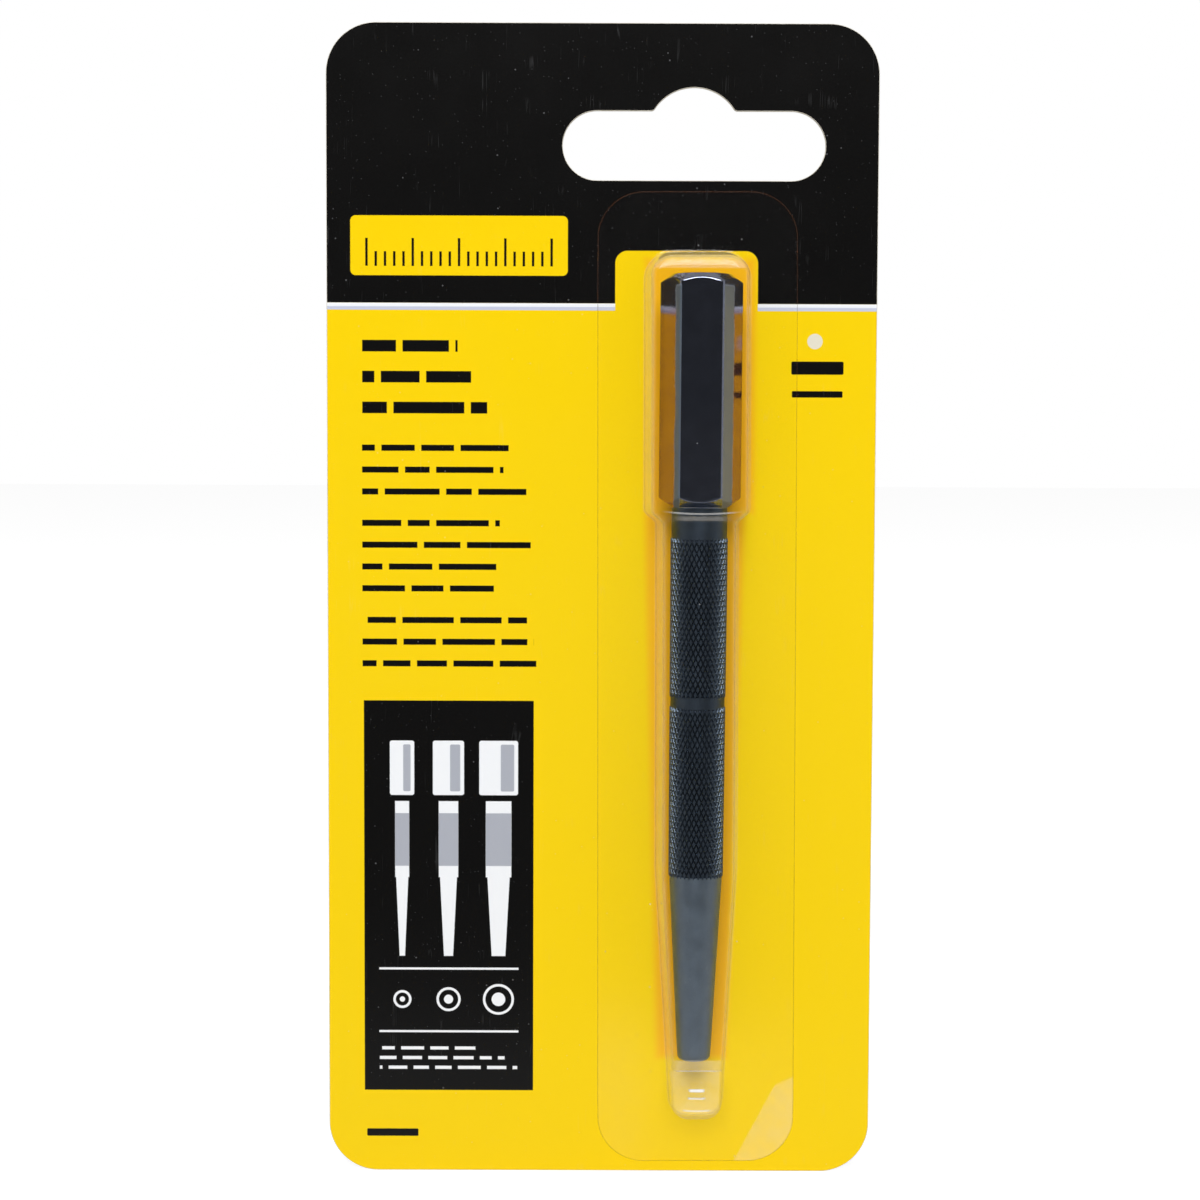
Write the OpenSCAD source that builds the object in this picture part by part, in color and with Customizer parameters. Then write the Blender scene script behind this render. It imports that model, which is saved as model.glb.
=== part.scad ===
// Nail set in its hanging pack: a printed board, a clear formed blister sealed to the
// board's face, and a one-piece steel tool that lies loose in the blister's pocket.
// Millimetres. +Z runs up the card and the front faces -Y. The origin is the highest
// point of the hang slot, on the back of the card, where a display hook carries it.

/* [Card] */
// Width of the card
card_w = 71.5; // [64:0.5:84]
// Height of the card
card_h = 150.5; // [145:0.5:175]
// Thickness of the board
card_t = 0.6; // [0.4:0.1:1.2]
// Radius of the card's corners
card_corner_r = 6.5; // [2:0.5:7.5]

/* [Hang slot] */
// Length of the slot over its round ends
slot_l = 34; // [28:0.5:38]
// Height of the slot below its straight top edge
slot_h = 8.9; // [6.5:0.1:10]
// Rise of the hump above the straight top edge
hump_rise = 3; // [2:0.1:4]
// Radius of the hump
hump_r = 6.1; // [5:0.1:7]
// Radius of the blends at the hump's feet
hump_foot_r = 0.6; // [0.2:0.1:1]
// Board left above the hump
slot_drop = 8.2; // [5:0.1:10]
// Distance from the card's centre line to the slot's
slot_aside = 11.85; // [0:0.05:13]

/* [Blister] */
// Thickness of the clear sheet
sheet_t = 0.3; // [0.2:0.05:0.4]
// Width of the sealed flange
flange_w = 26; // [22:0.5:32]
// Length of the sealed flange
flange_l = 127.6; // [124:0.1:136]
// Radius of the flange's corners
flange_corner_r = 6.1; // [3:0.1:7]
// Distance from the hump's top down to the flange
flange_drop = 13.3; // [12.2:0.1:15]
// Distance from the flange's centre line to the pocket's
pocket_aside = 0.5; // [-1:0.1:1]
// Angle by which the blister is sealed out of square
blister_lean = 0.2; // [-0.5:0.05:0.5]
// Draft angle of the pocket's long walls
side_draft = 4; // [2:0.5:6]
// Draft angle of the pocket's end walls
end_draft = 6.5; // [4:0.5:9]
// Fillet between the flange and the walls
base_fillet = 0.4; // [0.2:0.05:0.7]
// Radius between the walls and the front of the pocket
front_edge_r = 1; // [0.7:0.1:1.3]
// Corner radius of the pocket's head end, at the flange
head_end_r = 3.5; // [3:0.1:4.5]
// Corner radius of the pocket's foot, at the flange
foot_end_r = 2.5; // [2:0.1:3]
// Length over which the head pocket runs down into the grip pocket
shoulder_run = 1.9; // [1.2:0.1:3]
// Length of the step behind the tool's tip
step_run = 0.9; // [0.6:0.1:1.5]
// Length of the low foot below the step
foot_l = 7; // [6:0.1:9]
// Inside depth of the foot
foot_depth = 4.2; // [3.4:0.1:5]
// Width of the small pad raised on the foot
pad_w = 2.2; // [1.6:0.1:3]
// Length of the pad
pad_l = 1.9; // [1.4:0.1:2.6]
// Height of the pad
pad_h = 0.5; // [0.3:0.1:0.8]
// Corner radius of the pad
pad_r = 0.5; // [0.35:0.05:0.65]

/* [Fit of tool and pocket] */
// Gap between the back of the tool's head and the card
seat_gap = 0.1; // [0.05:0.05:0.4]
// Gap between the tool's front and the sheet
front_gap = 0.35; // [0.25:0.05:0.8]
// Gap beside the head, level with the tool's axis
head_side_gap = 0.95; // [0.85:0.05:1.6]
// Gap beside the grip, level with the tool's axis
grip_side_gap = 0.8; // [0.7:0.05:1.6]
// Gap beside the tip, level with the tool's axis
tip_side_gap = 1.1; // [0.8:0.05:1.6]
// Free travel of the tool upwards
play_up = 1.9; // [1.9:0.1:3]
// Free travel of the tool downwards
play_down = 0.9; // [0.9:0.1:2]
// Distance from the pocket's centre line to the head's, as the tool lies
tool_aside = 0.4; // [0:0.05:0.4]
// Angle by which the tool lies askew
tool_lean = 0.25; // [0:0.05:0.35]
// Angle by which the tool is turned about its own length
tool_turn = 2; // [0:0.5:5]

/* [Tool] */
// Distance from the hump's top down to the tool's struck face
tool_drop = 24.3; // [24:0.1:26]
// Overall length of the tool
tool_l = 101.6; // [98:0.1:104]
// Width of the six-sided head across its flats
head_flats = 9.3; // [8.6:0.1:9.8]
// Radius along the head's six long edges
head_edge_r = 0.6; // [0.2:0.05:0.9]
// Length of the head down to the neck
head_l = 29.7; // [26:0.1:34]
// Diameter of the struck face
struck_d = 7.5; // [6.5:0.1:8.5]
// Height of the turned chamfer where it meets the long edges
struck_chamfer = 1.1; // [0.8:0.1:1.8]
// Radius of the ball-shaped underside of the head
head_dome_r = 7.7; // [7:0.1:10]
// Diameter of the neck and of the grip's upper end
neck_d = 7.5; // [7:0.1:8.2]
// Diameter of the grip's lower end
grip_low_d = 7.2; // [7:0.1:8.2]
// Distance from the struck face to the upper knurl
knurl_drop = 33.85; // [32:0.05:38]
// Length of the upper knurl
upper_knurl_l = 20.1; // [16:0.1:21]
// Length of the plain band between the knurls
band_l = 1.65; // [1:0.05:4]
// Length of the lower knurl
lower_knurl_l = 21.65; // [17:0.05:22]
// Width of one diamond round the grip
diamond_w = 0.68; // [0.6:0.02:1.4]
// Length of one diamond along the grip
diamond_l = 1.36; // [1.2:0.02:2.4]
// Height of the diamonds above their grooves
diamond_h = 0.3; // [0.1:0.05:0.35]
// Length of the plain land below the lower knurl
land_l = 0.9; // [0.5:0.1:2]
// Diameter of the land
land_d = 7; // [6.4:0.1:7.2]
// Diameter that the taper reaches at the tip
tip_d = 4.25; // [3:0.05:5]
// Radius round the tip's edge
tip_edge_r = 0.6; // [0.2:0.05:0.8]
// Diameter of the cup in the tip
cup_d = 2.2; // [1.4:0.1:2.4]
// Depth of the cup
cup_depth = 0.45; // [0.2:0.05:0.8]

/* [Hidden] */

// Segments of a whole round
round_steps = 96;
// Steps of one rounded corner in the lofted sheet
corner_steps = 5;
// Steps of the pocket's shoulder and of the step at the tip
blend_steps = 4;
// Steps round each long edge of the head
edge_steps = 5;
// Steps of the tip's rounded edge
tip_steps = 6;
// Steps of the hump's arc and of each small blend at its feet
hump_steps = 32;
foot_steps = 5;
// Overrun of cuts past the faces that they open
over = 0.5;
// Overlap of turned lengths with the knurls that they run into
bite = 0.1;

// Card
card_top = slot_drop;
card_mid_x = -slot_aside;

// Tool, down from its struck face
head_r = head_flats / 2;
neck_r = neck_d / 2;
tip_r = tip_d / 2;
upper_end = knurl_drop + upper_knurl_l;
lower_start = upper_end + band_l;
lower_end = lower_start + lower_knurl_l;
taper_start = lower_end + land_l;
dome_mid = head_l - sqrt(pow(head_dome_r, 2) - pow(neck_r, 2));
flat_end = dome_mid + sqrt(pow(head_dome_r, 2) - pow(head_r, 2));
head_side = 60;
head_edge_mid = (head_r - head_edge_r) / cos(head_side / 2);
head_corner_r = head_edge_mid + head_edge_r;
turned_reach = head_edge_mid * cos(head_side / 2 - tool_turn) + head_edge_r;

// Pocket, out from the card's face
axis_depth = seat_gap + turned_reach;
head_depth = axis_depth + turned_reach + front_gap;
grip_depth = axis_depth + (neck_d + diamond_h) / 2 + front_gap;
tip_depth = axis_depth + tip_r + front_gap;
axis_flare = axis_depth * tan(side_draft);

// Pocket, half widths of the sheet's outer face at the flange
head_half = head_corner_r + head_side_gap + axis_flare + sheet_t;
grip_half = (neck_d + diamond_h) / 2 + grip_side_gap + axis_flare + sheet_t;
tip_half = tip_r + tip_side_gap + axis_flare + sheet_t;

// Pocket, down from the hump's top
rim_flare = (axis_depth + struck_d / 2) * tan(end_draft);
pocket_top = tool_drop - play_up - rim_flare - sheet_t;
shoulder_top = tool_drop + flat_end + play_down;
grip_end = tool_drop + lower_end;
step_top = tool_drop + tool_l + play_down;
step_end = step_top + step_run;
foot_end = step_end + foot_l;
pad_mid = step_end + foot_l / 2 - pad_l / 2;
// The taper's walls keep their slope down to the foot's end
wall_slope = (grip_half - tip_half) / (step_top - grip_end);

// Half width of the pocket at a distance down, below the grip
function taper_half(down) = grip_half - wall_slope * (down - grip_end);

// Share of a blend that is done, rising smoothly from 0 to 1
function ease(share) = (1 - cos(180 * share)) / 2;

// Value between two ends
function mix(from, to, share) = from + (to - from) * share;

// Radius of the plain grip at a distance down from the struck face
function grip_r(down) =
    mix(neck_d, grip_low_d, (down - knurl_drop) / (lower_end - knurl_drop)) / 2;

// Stations down the pocket, each [distance down, half width, inside depth]
stations = concat(
    [[pocket_top + head_end_r, head_half, head_depth]],
    [for (i = [0:blend_steps]) let (share = ease(i / blend_steps)) [
        shoulder_top + shoulder_run * i / blend_steps,
        mix(head_half, grip_half, share),
        mix(head_depth, grip_depth, share)
    ]],
    [[grip_end, grip_half, grip_depth]],
    [for (i = [0:blend_steps]) let (down = step_top + step_run * i / blend_steps) [
        down,
        taper_half(down),
        mix(tip_depth, foot_depth, ease(i / blend_steps))
    ]],
    [[foot_end - foot_end_r, taper_half(foot_end - foot_end_r), foot_depth]]
);
last = len(stations) - 1;

// Walk round the pocket, each step [station, angle round the end corner, side]
corner_turns = [for (i = [1:corner_steps]) 90 * i / corner_steps];
back_turns = [for (i = [corner_steps:-1:1]) 90 * i / corner_steps];
walk = concat(
    [for (i = [0:last]) [i, 0, 1]],
    [for (turn = corner_turns) [last, turn, 1]],
    [for (turn = back_turns) [last, turn, -1]],
    [for (i = [last:-1:0]) [i, 0, -1]],
    [for (turn = corner_turns) [0, -turn, -1]],
    [for (turn = back_turns) [0, -turn, 1]]
);

// Card

// The slot's hump with its small blends, about the hump's top
module slot_hump() {
    foot_rise = hump_r - hump_rise + hump_foot_r;
    foot_x = sqrt(pow(hump_r + hump_foot_r, 2) - pow(foot_rise, 2));
    lean = atan2(foot_rise, foot_x);
    foot = [for (i = [0:foot_steps - 1]) let (angle = mix(270, 180 + lean, i / foot_steps)) [
        foot_x + hump_foot_r * cos(angle),
        hump_foot_r * (1 + sin(angle)) - hump_rise
    ]];
    hump = [for (i = [0:hump_steps]) let (angle = mix(lean, 180 - lean, i / hump_steps)) [
        hump_r * cos(angle),
        hump_r * (sin(angle) - 1)
    ]];
    other_foot = [for (i = [foot_steps - 1:-1:0]) [-foot[i][0], foot[i][1]]];
    polygon(concat([[-foot_x, -hump_r], [foot_x, -hump_r]], foot, hump, other_foot));
}

// The whole hang slot, about the hump's top
module slot_outline() {
    end_r = slot_h / 2;
    middle = -hump_rise - end_r;
    translate([end_r - slot_l / 2, -hump_rise - slot_h]) square([slot_l - slot_h, slot_h]);
    for (side = [-1, 1])
        translate([side * (slot_l / 2 - end_r), middle]) circle(end_r, $fn = round_steps);
    slot_hump();
}

// A rectangle with round corners, about its middle
module rounded_sheet(width, height, r) {
    square([width - 2 * r, height], center = true);
    square([width, height - 2 * r], center = true);
    for (x = [-1, 1], y = [-1, 1])
        translate([x * (width / 2 - r), y * (height / 2 - r)]) circle(r, $fn = round_steps);
}

module backing_card() {
    color("gold")
        rotate([90, 0, 0])
            linear_extrude(card_t)
                difference() {
                    translate([card_mid_x, card_top - card_h / 2])
                        rounded_sheet(card_w, card_h, card_corner_r);
                    slot_outline();
                }
}

// Blister

// A point of the flange's edge at one step of the walk and a height over the card
function flange_point(step, height) = let (
    turned = step[1] != 0,
    end_mid = step[0] == 0 ? flange_drop + flange_corner_r
                           : flange_drop + flange_l - flange_corner_r,
    down = turned ? end_mid + flange_corner_r * sin(step[1]) : stations[step[0]][0],
    out = flange_w / 2 - flange_corner_r * (1 - cos(step[1]))
) [step[2] * out - pocket_aside, down, height];

// A point of the pocket's wall, inset from its outline at the flange
function wall_point(step, inset, end_inset, height) = let (
    place = stations[step[0]],
    r = step[0] == 0 ? head_end_r : foot_end_r
) [
    step[2] * (place[1] - r + (r - inset) * cos(step[1])),
    place[0] + (r - end_inset) * sin(step[1]),
    height
];

// Ring of the base fillet; skin is 0 on the sheet's front and its thickness behind
function base_ring(skin, angle) = let (
    inset = (base_fillet + skin) * sin(angle) - base_fillet,
    height = sheet_t + base_fillet - (base_fillet + skin) * cos(angle)
) [for (step = walk) wall_point(step, inset, inset, height)];

// Ring of the rounded front edge; skin as above
function front_ring(skin, angle) = [for (step = walk) let (
    rise = stations[step[0]][2] + sheet_t - front_edge_r,
    back_off = front_edge_r - (front_edge_r - skin) * cos(angle),
    height = rise + (front_edge_r - skin) * sin(angle)
) wall_point(step, rise * tan(side_draft) + back_off, rise * tan(end_draft) + back_off, height)];

// From the middle of the front, over the walls and round the flange's edge, to the back
rings = concat(
    [for (angle = [90, 45, 0]) front_ring(0, angle)],
    [for (angle = [90, 45, 0]) base_ring(0, angle)],
    [for (height = [sheet_t, 0]) [for (step = walk) flange_point(step, height)]],
    [for (angle = [0, 45, 90]) base_ring(sheet_t, angle)],
    [for (angle = [0, 45, 90]) front_ring(sheet_t, angle)]
);

// Faces across the front of the pocket, from the points of one ring that starts at first
function cap_faces(first) = let (
    count = len(walk),
    left = last + 2 * corner_steps + last + 1
) concat(
    [for (i = [0:last - 1]) [first + i, first + i + 1, first + left - i - 1, first + left - i]],
    [[for (i = [last:left - last]) first + i]],
    [[for (i = [left:count]) first + i % count]]
);

function flipped(faces) = [for (face = faces) [for (i = [len(face) - 1:-1:0]) face[i]]];

// The thin sheet as one closed skin, in [across, down, out] from the card's face
module formed_sheet() {
    count = len(walk);
    points = [for (ring = rings, p = ring) [p[0], -p[2], -p[1]]];
    skin = [for (k = [0:len(rings) - 2], i = [0:count - 1]) let (
        a = k * count + i,
        b = k * count + (i + 1) % count
    ) each [[a, a + count, b + count], [a, b + count, b]]];
    polyhedron(
        points,
        concat(skin, flipped(cap_faces(0)), cap_faces((len(rings) - 1) * count)),
        convexity = 6
    );
}

// The small pad on the foot, or the hollow behind it
module pad(skin, from, to) {
    translate([0, -from, -pad_mid])
        rotate([90, 0, 0])
            linear_extrude(to - from)
                rounded_sheet(pad_w - 2 * skin, pad_l - 2 * skin, pad_r - skin);
}

module blister() {
    foot_front = foot_depth + sheet_t;
    color([0.85, 0.93, 0.97, 0.35])
        translate([0, -card_t, -flange_drop])
            rotate([0, -blister_lean, 0])
                translate([pocket_aside, 0, flange_drop])
                    difference() {
                        union() {
                            formed_sheet();
                            pad(0, foot_front - sheet_t / 2, foot_front + pad_h);
                        }
                        pad(sheet_t, foot_depth - over, foot_depth + pad_h);
                    }
}

// Tool, drawn with its struck face at zero and its tip down

// The six-sided bar with its long edges rounded
module head_bar() {
    translate([0, 0, -head_l])
        linear_extrude(head_l)
            polygon([
                for (side = [0:5], i = [0:edge_steps])
                    let (corner = head_side * side, turn = head_side * (side - 1 / 2 + i / edge_steps))
                        head_edge_mid * [cos(corner), sin(corner)] + head_edge_r * [cos(turn), sin(turn)]
            ]);
}

// The bar turned to a chamfer above and a ball shape below
module head() {
    struck_r = struck_d / 2;
    reach = head_corner_r + over;
    chamfer_l = (reach - struck_r) * struck_chamfer / (head_corner_r - struck_r);
    intersection() {
        head_bar();
        rotate_extrude($fn = round_steps)
            polygon([
                [0, 0], [struck_r, 0], [reach, -chamfer_l], [reach, -head_l], [0, -head_l]
            ]);
        translate([0, 0, -dome_mid])
            union() {
                cylinder(dome_mid + over, r = head_dome_r, $fn = round_steps);
                sphere(head_dome_r, $fn = round_steps);
            }
    }
}

// A plain turned length of the grip
module turned(from, to) {
    translate([0, 0, -to])
        cylinder(to - from, r1 = grip_r(to), r2 = grip_r(from), $fn = round_steps);
}

// A length of diamond knurl: pointed diamonds between two crossing sets of grooves
module knurl(from, to) {
    around = 2 * round(PI * neck_d / diamond_w);
    along = 2 * round((to - from) / diamond_l);
    points = [for (j = [0:along], i = [0:around - 1]) let (
        down = mix(from, to, j / along),
        edge = j == 0 || j == along,
        lift = !edge && (i + j) % 2 == 0 ? diamond_h / 2 : -diamond_h / 2,
        r = grip_r(down) + lift
    ) [r * cos(360 * i / around), r * sin(360 * i / around), -down]];
    skin = [for (j = [0:along - 1], i = [0:around - 1]) let (
        a = j * around + i,
        b = j * around + (i + 1) % around,
        c = b + around,
        d = a + around
    ) each (i + j) % 2 == 0 ? [[a, b, d], [b, c, d]] : [[a, b, c], [a, c, d]]];
    top = [for (i = [around - 1:-1:0]) i];
    bottom = [for (i = [0:around - 1]) along * around + i];
    polyhedron(points, concat(skin, [top, bottom]), convexity = 4);
}

// The land, the long taper and the rounded tip
module taper() {
    tip_mid = tip_r - tip_edge_r;
    land_r = land_d / 2;
    rotate_extrude($fn = round_steps)
        polygon(concat(
            [
                [0, bite - lower_end],
                [land_r, bite - lower_end],
                [land_r, -taper_start]
            ],
            [for (i = [0:tip_steps]) let (angle = 90 * i / tip_steps) [
                tip_mid + tip_edge_r * cos(angle),
                tip_edge_r - tool_l - tip_edge_r * sin(angle)
            ]],
            [[0, -tool_l]]
        ));
}

// The hollow of the cupped tip
module cup() {
    cup_r = (pow(cup_d / 2, 2) + pow(cup_depth, 2)) / (2 * cup_depth);
    translate([0, 0, cup_depth - cup_r - tool_l]) sphere(cup_r, $fn = round_steps);
}

module nail_set() {
    color([0.2, 0.22, 0.26])
        translate([pocket_aside + tool_aside, -card_t - axis_depth, -tool_drop])
            rotate([0, tool_lean, 0])
                rotate([0, 0, -tool_turn])
                    difference() {
                        union() {
                            head();
                            turned(head_l - head_r, knurl_drop + bite);
                            knurl(knurl_drop, upper_end);
                            turned(upper_end - bite, lower_start + bite);
                            knurl(lower_start, lower_end);
                            taper();
                        }
                        cup();
                    }
}

backing_card();
blister();
nail_set();
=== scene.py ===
"""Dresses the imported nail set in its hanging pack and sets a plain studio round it.

Sizes are in millimetres in the part's own frame, where +Z runs up the card, the front
faces -Y and the origin is the top of the hang slot. They turn into metres as each mesh
is made. The tool and the pack are separate bodies, so that the tool slides in its pocket.
"""

from __future__ import annotations

import logging
import math
from dataclasses import dataclass, field
from enum import Enum
from functools import reduce
from typing import Callable, Sequence, Union

import bmesh
import bpy
from mathutils import Matrix, Vector
from mathutils.geometry import tessellate_polygon

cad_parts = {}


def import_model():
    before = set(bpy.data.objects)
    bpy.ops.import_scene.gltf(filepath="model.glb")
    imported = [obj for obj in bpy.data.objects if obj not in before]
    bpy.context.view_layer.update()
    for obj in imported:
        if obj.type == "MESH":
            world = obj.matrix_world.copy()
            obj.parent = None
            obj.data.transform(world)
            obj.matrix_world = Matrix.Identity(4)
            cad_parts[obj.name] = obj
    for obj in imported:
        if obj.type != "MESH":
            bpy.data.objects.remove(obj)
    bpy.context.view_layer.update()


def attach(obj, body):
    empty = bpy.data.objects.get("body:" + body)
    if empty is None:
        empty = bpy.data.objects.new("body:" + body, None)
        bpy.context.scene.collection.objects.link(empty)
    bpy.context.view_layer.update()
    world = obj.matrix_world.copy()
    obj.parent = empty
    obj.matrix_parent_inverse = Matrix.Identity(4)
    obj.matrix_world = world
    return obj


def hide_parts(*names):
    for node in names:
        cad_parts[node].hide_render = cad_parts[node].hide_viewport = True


LOG = logging.getLogger("nail_set_pack")
MM = 0.001

# The six-sided head: half its width across flats, the radius of its long edges, its reach to
# a corner, and its reach towards the card when it is turned as it lies.
TOOL_TURN = math.radians(2)
HEAD_R = 4.65
HEAD_EDGE_R = 0.6
HEAD_EDGE_MID = (HEAD_R - HEAD_EDGE_R) / math.cos(math.pi / 6)
HEAD_CORNER_R = HEAD_EDGE_MID + HEAD_EDGE_R
HEAD_REACH = HEAD_EDGE_MID * math.cos(math.pi / 6 - TOOL_TURN) + HEAD_EDGE_R

# Where the tool lies: its axis in front of the board, its struck face's middle and its lean.
BOARD = 0.6
TOOL_LIFT = 0.1
AXIS_DEPTH = TOOL_LIFT + HEAD_REACH
TOOL_SPOT = (0.9, -BOARD - AXIS_DEPTH, -24.3)
TOOL_LEAN = math.radians(0.25)

# The knurled grip: how far down the tool it starts and ends, and its widths there.
GRIP_ENDS = (33.85, 77.25)
GRIP_WIDTHS = (7.15, 6.85)

Socket = bpy.types.NodeSocket
Colour = tuple[float, float, float]
Row = tuple[float, ...]
Pair = tuple[float, float]
Point = tuple[float, float, float]
Rule = Callable[[int, float], Point]
Feed = Union[float, Sequence[float], bpy.types.NodeSocket, None]


class Body(Enum):
    """The two bodies of the part's joint tree."""

    PACK = "pack"
    TOOL = "tool"


class Finish(Enum):
    """The record's material slots."""

    BOARD = "printed_board"
    SHEET = "clear_sheet"
    STEEL = "blued_steel"


def ease(share: float) -> float:
    """A share from 0 to 1 that starts and ends softly."""
    share = min(max(share, 0.0), 1.0)
    return share * share * (3 - 2 * share)


def swing(share: float) -> float:
    """A share from 0 to 1 that starts and ends along a half wave."""
    return (1 - math.cos(math.pi * share)) / 2


def mix(start: float, end: float, share: float) -> float:
    """The value at a share of the way from start to end."""
    return start + (end - start) * share


def soft_min(values: Sequence[float], blend: float) -> float:
    """The least value, rounded off where several are close.

    Args:
        values: The values to choose from.
        blend: How near to each other values start to blend.

    Returns:
        A value a little under the least of them.
    """
    least = min(values)
    return least - blend * math.log(sum(math.exp((least - v) / blend) for v in values))


def steps(start: float, end: float, count: int) -> list[float]:
    """Evenly spaced values from start up to, but without, end."""
    return [mix(start, end, i / count) for i in range(count)]


def arc(middle: Pair, r: float, start: float, end: float, count: int) -> list[Pair]:
    """Points along an arc.

    Args:
        middle: The arc's centre.
        r: Its radius.
        start: The angle that it starts at, in degrees.
        end: The angle that it ends at, in degrees.
        count: How many segments it has.

    Returns:
        The points as pairs, both ends among them.
    """
    turns = [math.radians(mix(start, end, i / count)) for i in range(count + 1)]
    return [(middle[0] + r * math.cos(t), middle[1] + r * math.sin(t)) for t in turns]


def linked(name: str, data: bpy.types.ID) -> bpy.types.Object:
    """A new object in the scene that holds a mesh, a lamp or a camera."""
    made = bpy.data.objects.new(name, data)
    bpy.context.scene.collection.objects.link(made)
    return made


@dataclass
class Skin:
    """Points and faces of a piece while it is put together, in millimetres."""

    points: list[Sequence[float]] = field(default_factory=list)
    faces: list[Sequence[int]] = field(default_factory=list)
    slots: list[int] = field(default_factory=list)

    def add(self, points: Sequence[Sequence[float]]) -> list[int]:
        """Adds points and gives their numbers."""
        first = len(self.points)
        self.points.extend(points)
        return list(range(first, len(self.points)))

    def face(self, corners: Sequence[int], slot: int = 0) -> None:
        """Adds one face in a material slot."""
        self.faces.append(tuple(corners))
        self.slots.append(slot)

    def bridge(self, a: Sequence[int], b: Sequence[int], slot: int = 0,
               loop: bool = True) -> None:
        """Joins two rows of points by four-sided faces.

        Args:
            a: Numbers of one row.
            b: Numbers of the other, as many.
            slot: The material slot of the faces.
            loop: Whether the rows close on themselves.
        """
        for i in range(len(a) if loop else len(a) - 1):
            j = (i + 1) % len(a)
            self.face((a[i], a[j], b[j], b[i]), slot)

    def made(self, name: str, finishes: Sequence[bpy.types.Material], place: Matrix,
             sharp: float = 40.0, flat: Sequence[int] = ()) -> bpy.types.Object:
        """Turns the skin into an object whose place is in its mesh.

        Args:
            name: The piece's name.
            finishes: Its materials, in the order of the slots.
            place: Where it goes in the part's frame, in millimetres.
            sharp: Edges that turn by more than this many degrees stay crisp.
            flat: The slots whose faces are flat to their very edge.

        Returns:
            The object, linked to the scene.
        """
        mesh = bpy.data.meshes.new(name)
        mesh.from_pydata([place @ Vector(p) * MM for p in self.points], [], self.faces)
        mesh.polygons.foreach_set("material_index", self.slots)
        work = bmesh.new()
        work.from_mesh(mesh)
        bmesh.ops.recalc_face_normals(work, faces=work.faces[:])
        work.to_mesh(mesh)
        work.free()
        for finish in finishes:
            mesh.materials.append(finish)
        mesh.set_sharp_from_angle(angle=math.radians(sharp))
        mesh.polygons.foreach_set("use_smooth", [slot not in flat for slot in self.slots])
        return linked(name, mesh)


def settle(piece: bpy.types.Object, body: Body,
           nodes: Sequence[str] = ()) -> None:
    """Rides a piece on its body and hides the CAD nodes that it stands for.

    Args:
        piece: The finished piece.
        body: The body that it moves with.
        nodes: The CAD nodes that it replaces.
    """
    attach(piece, body.value)
    if nodes:
        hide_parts(*nodes)
    LOG.info("%s: %d faces on %s", piece.name, len(piece.data.polygons), body.value)


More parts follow.
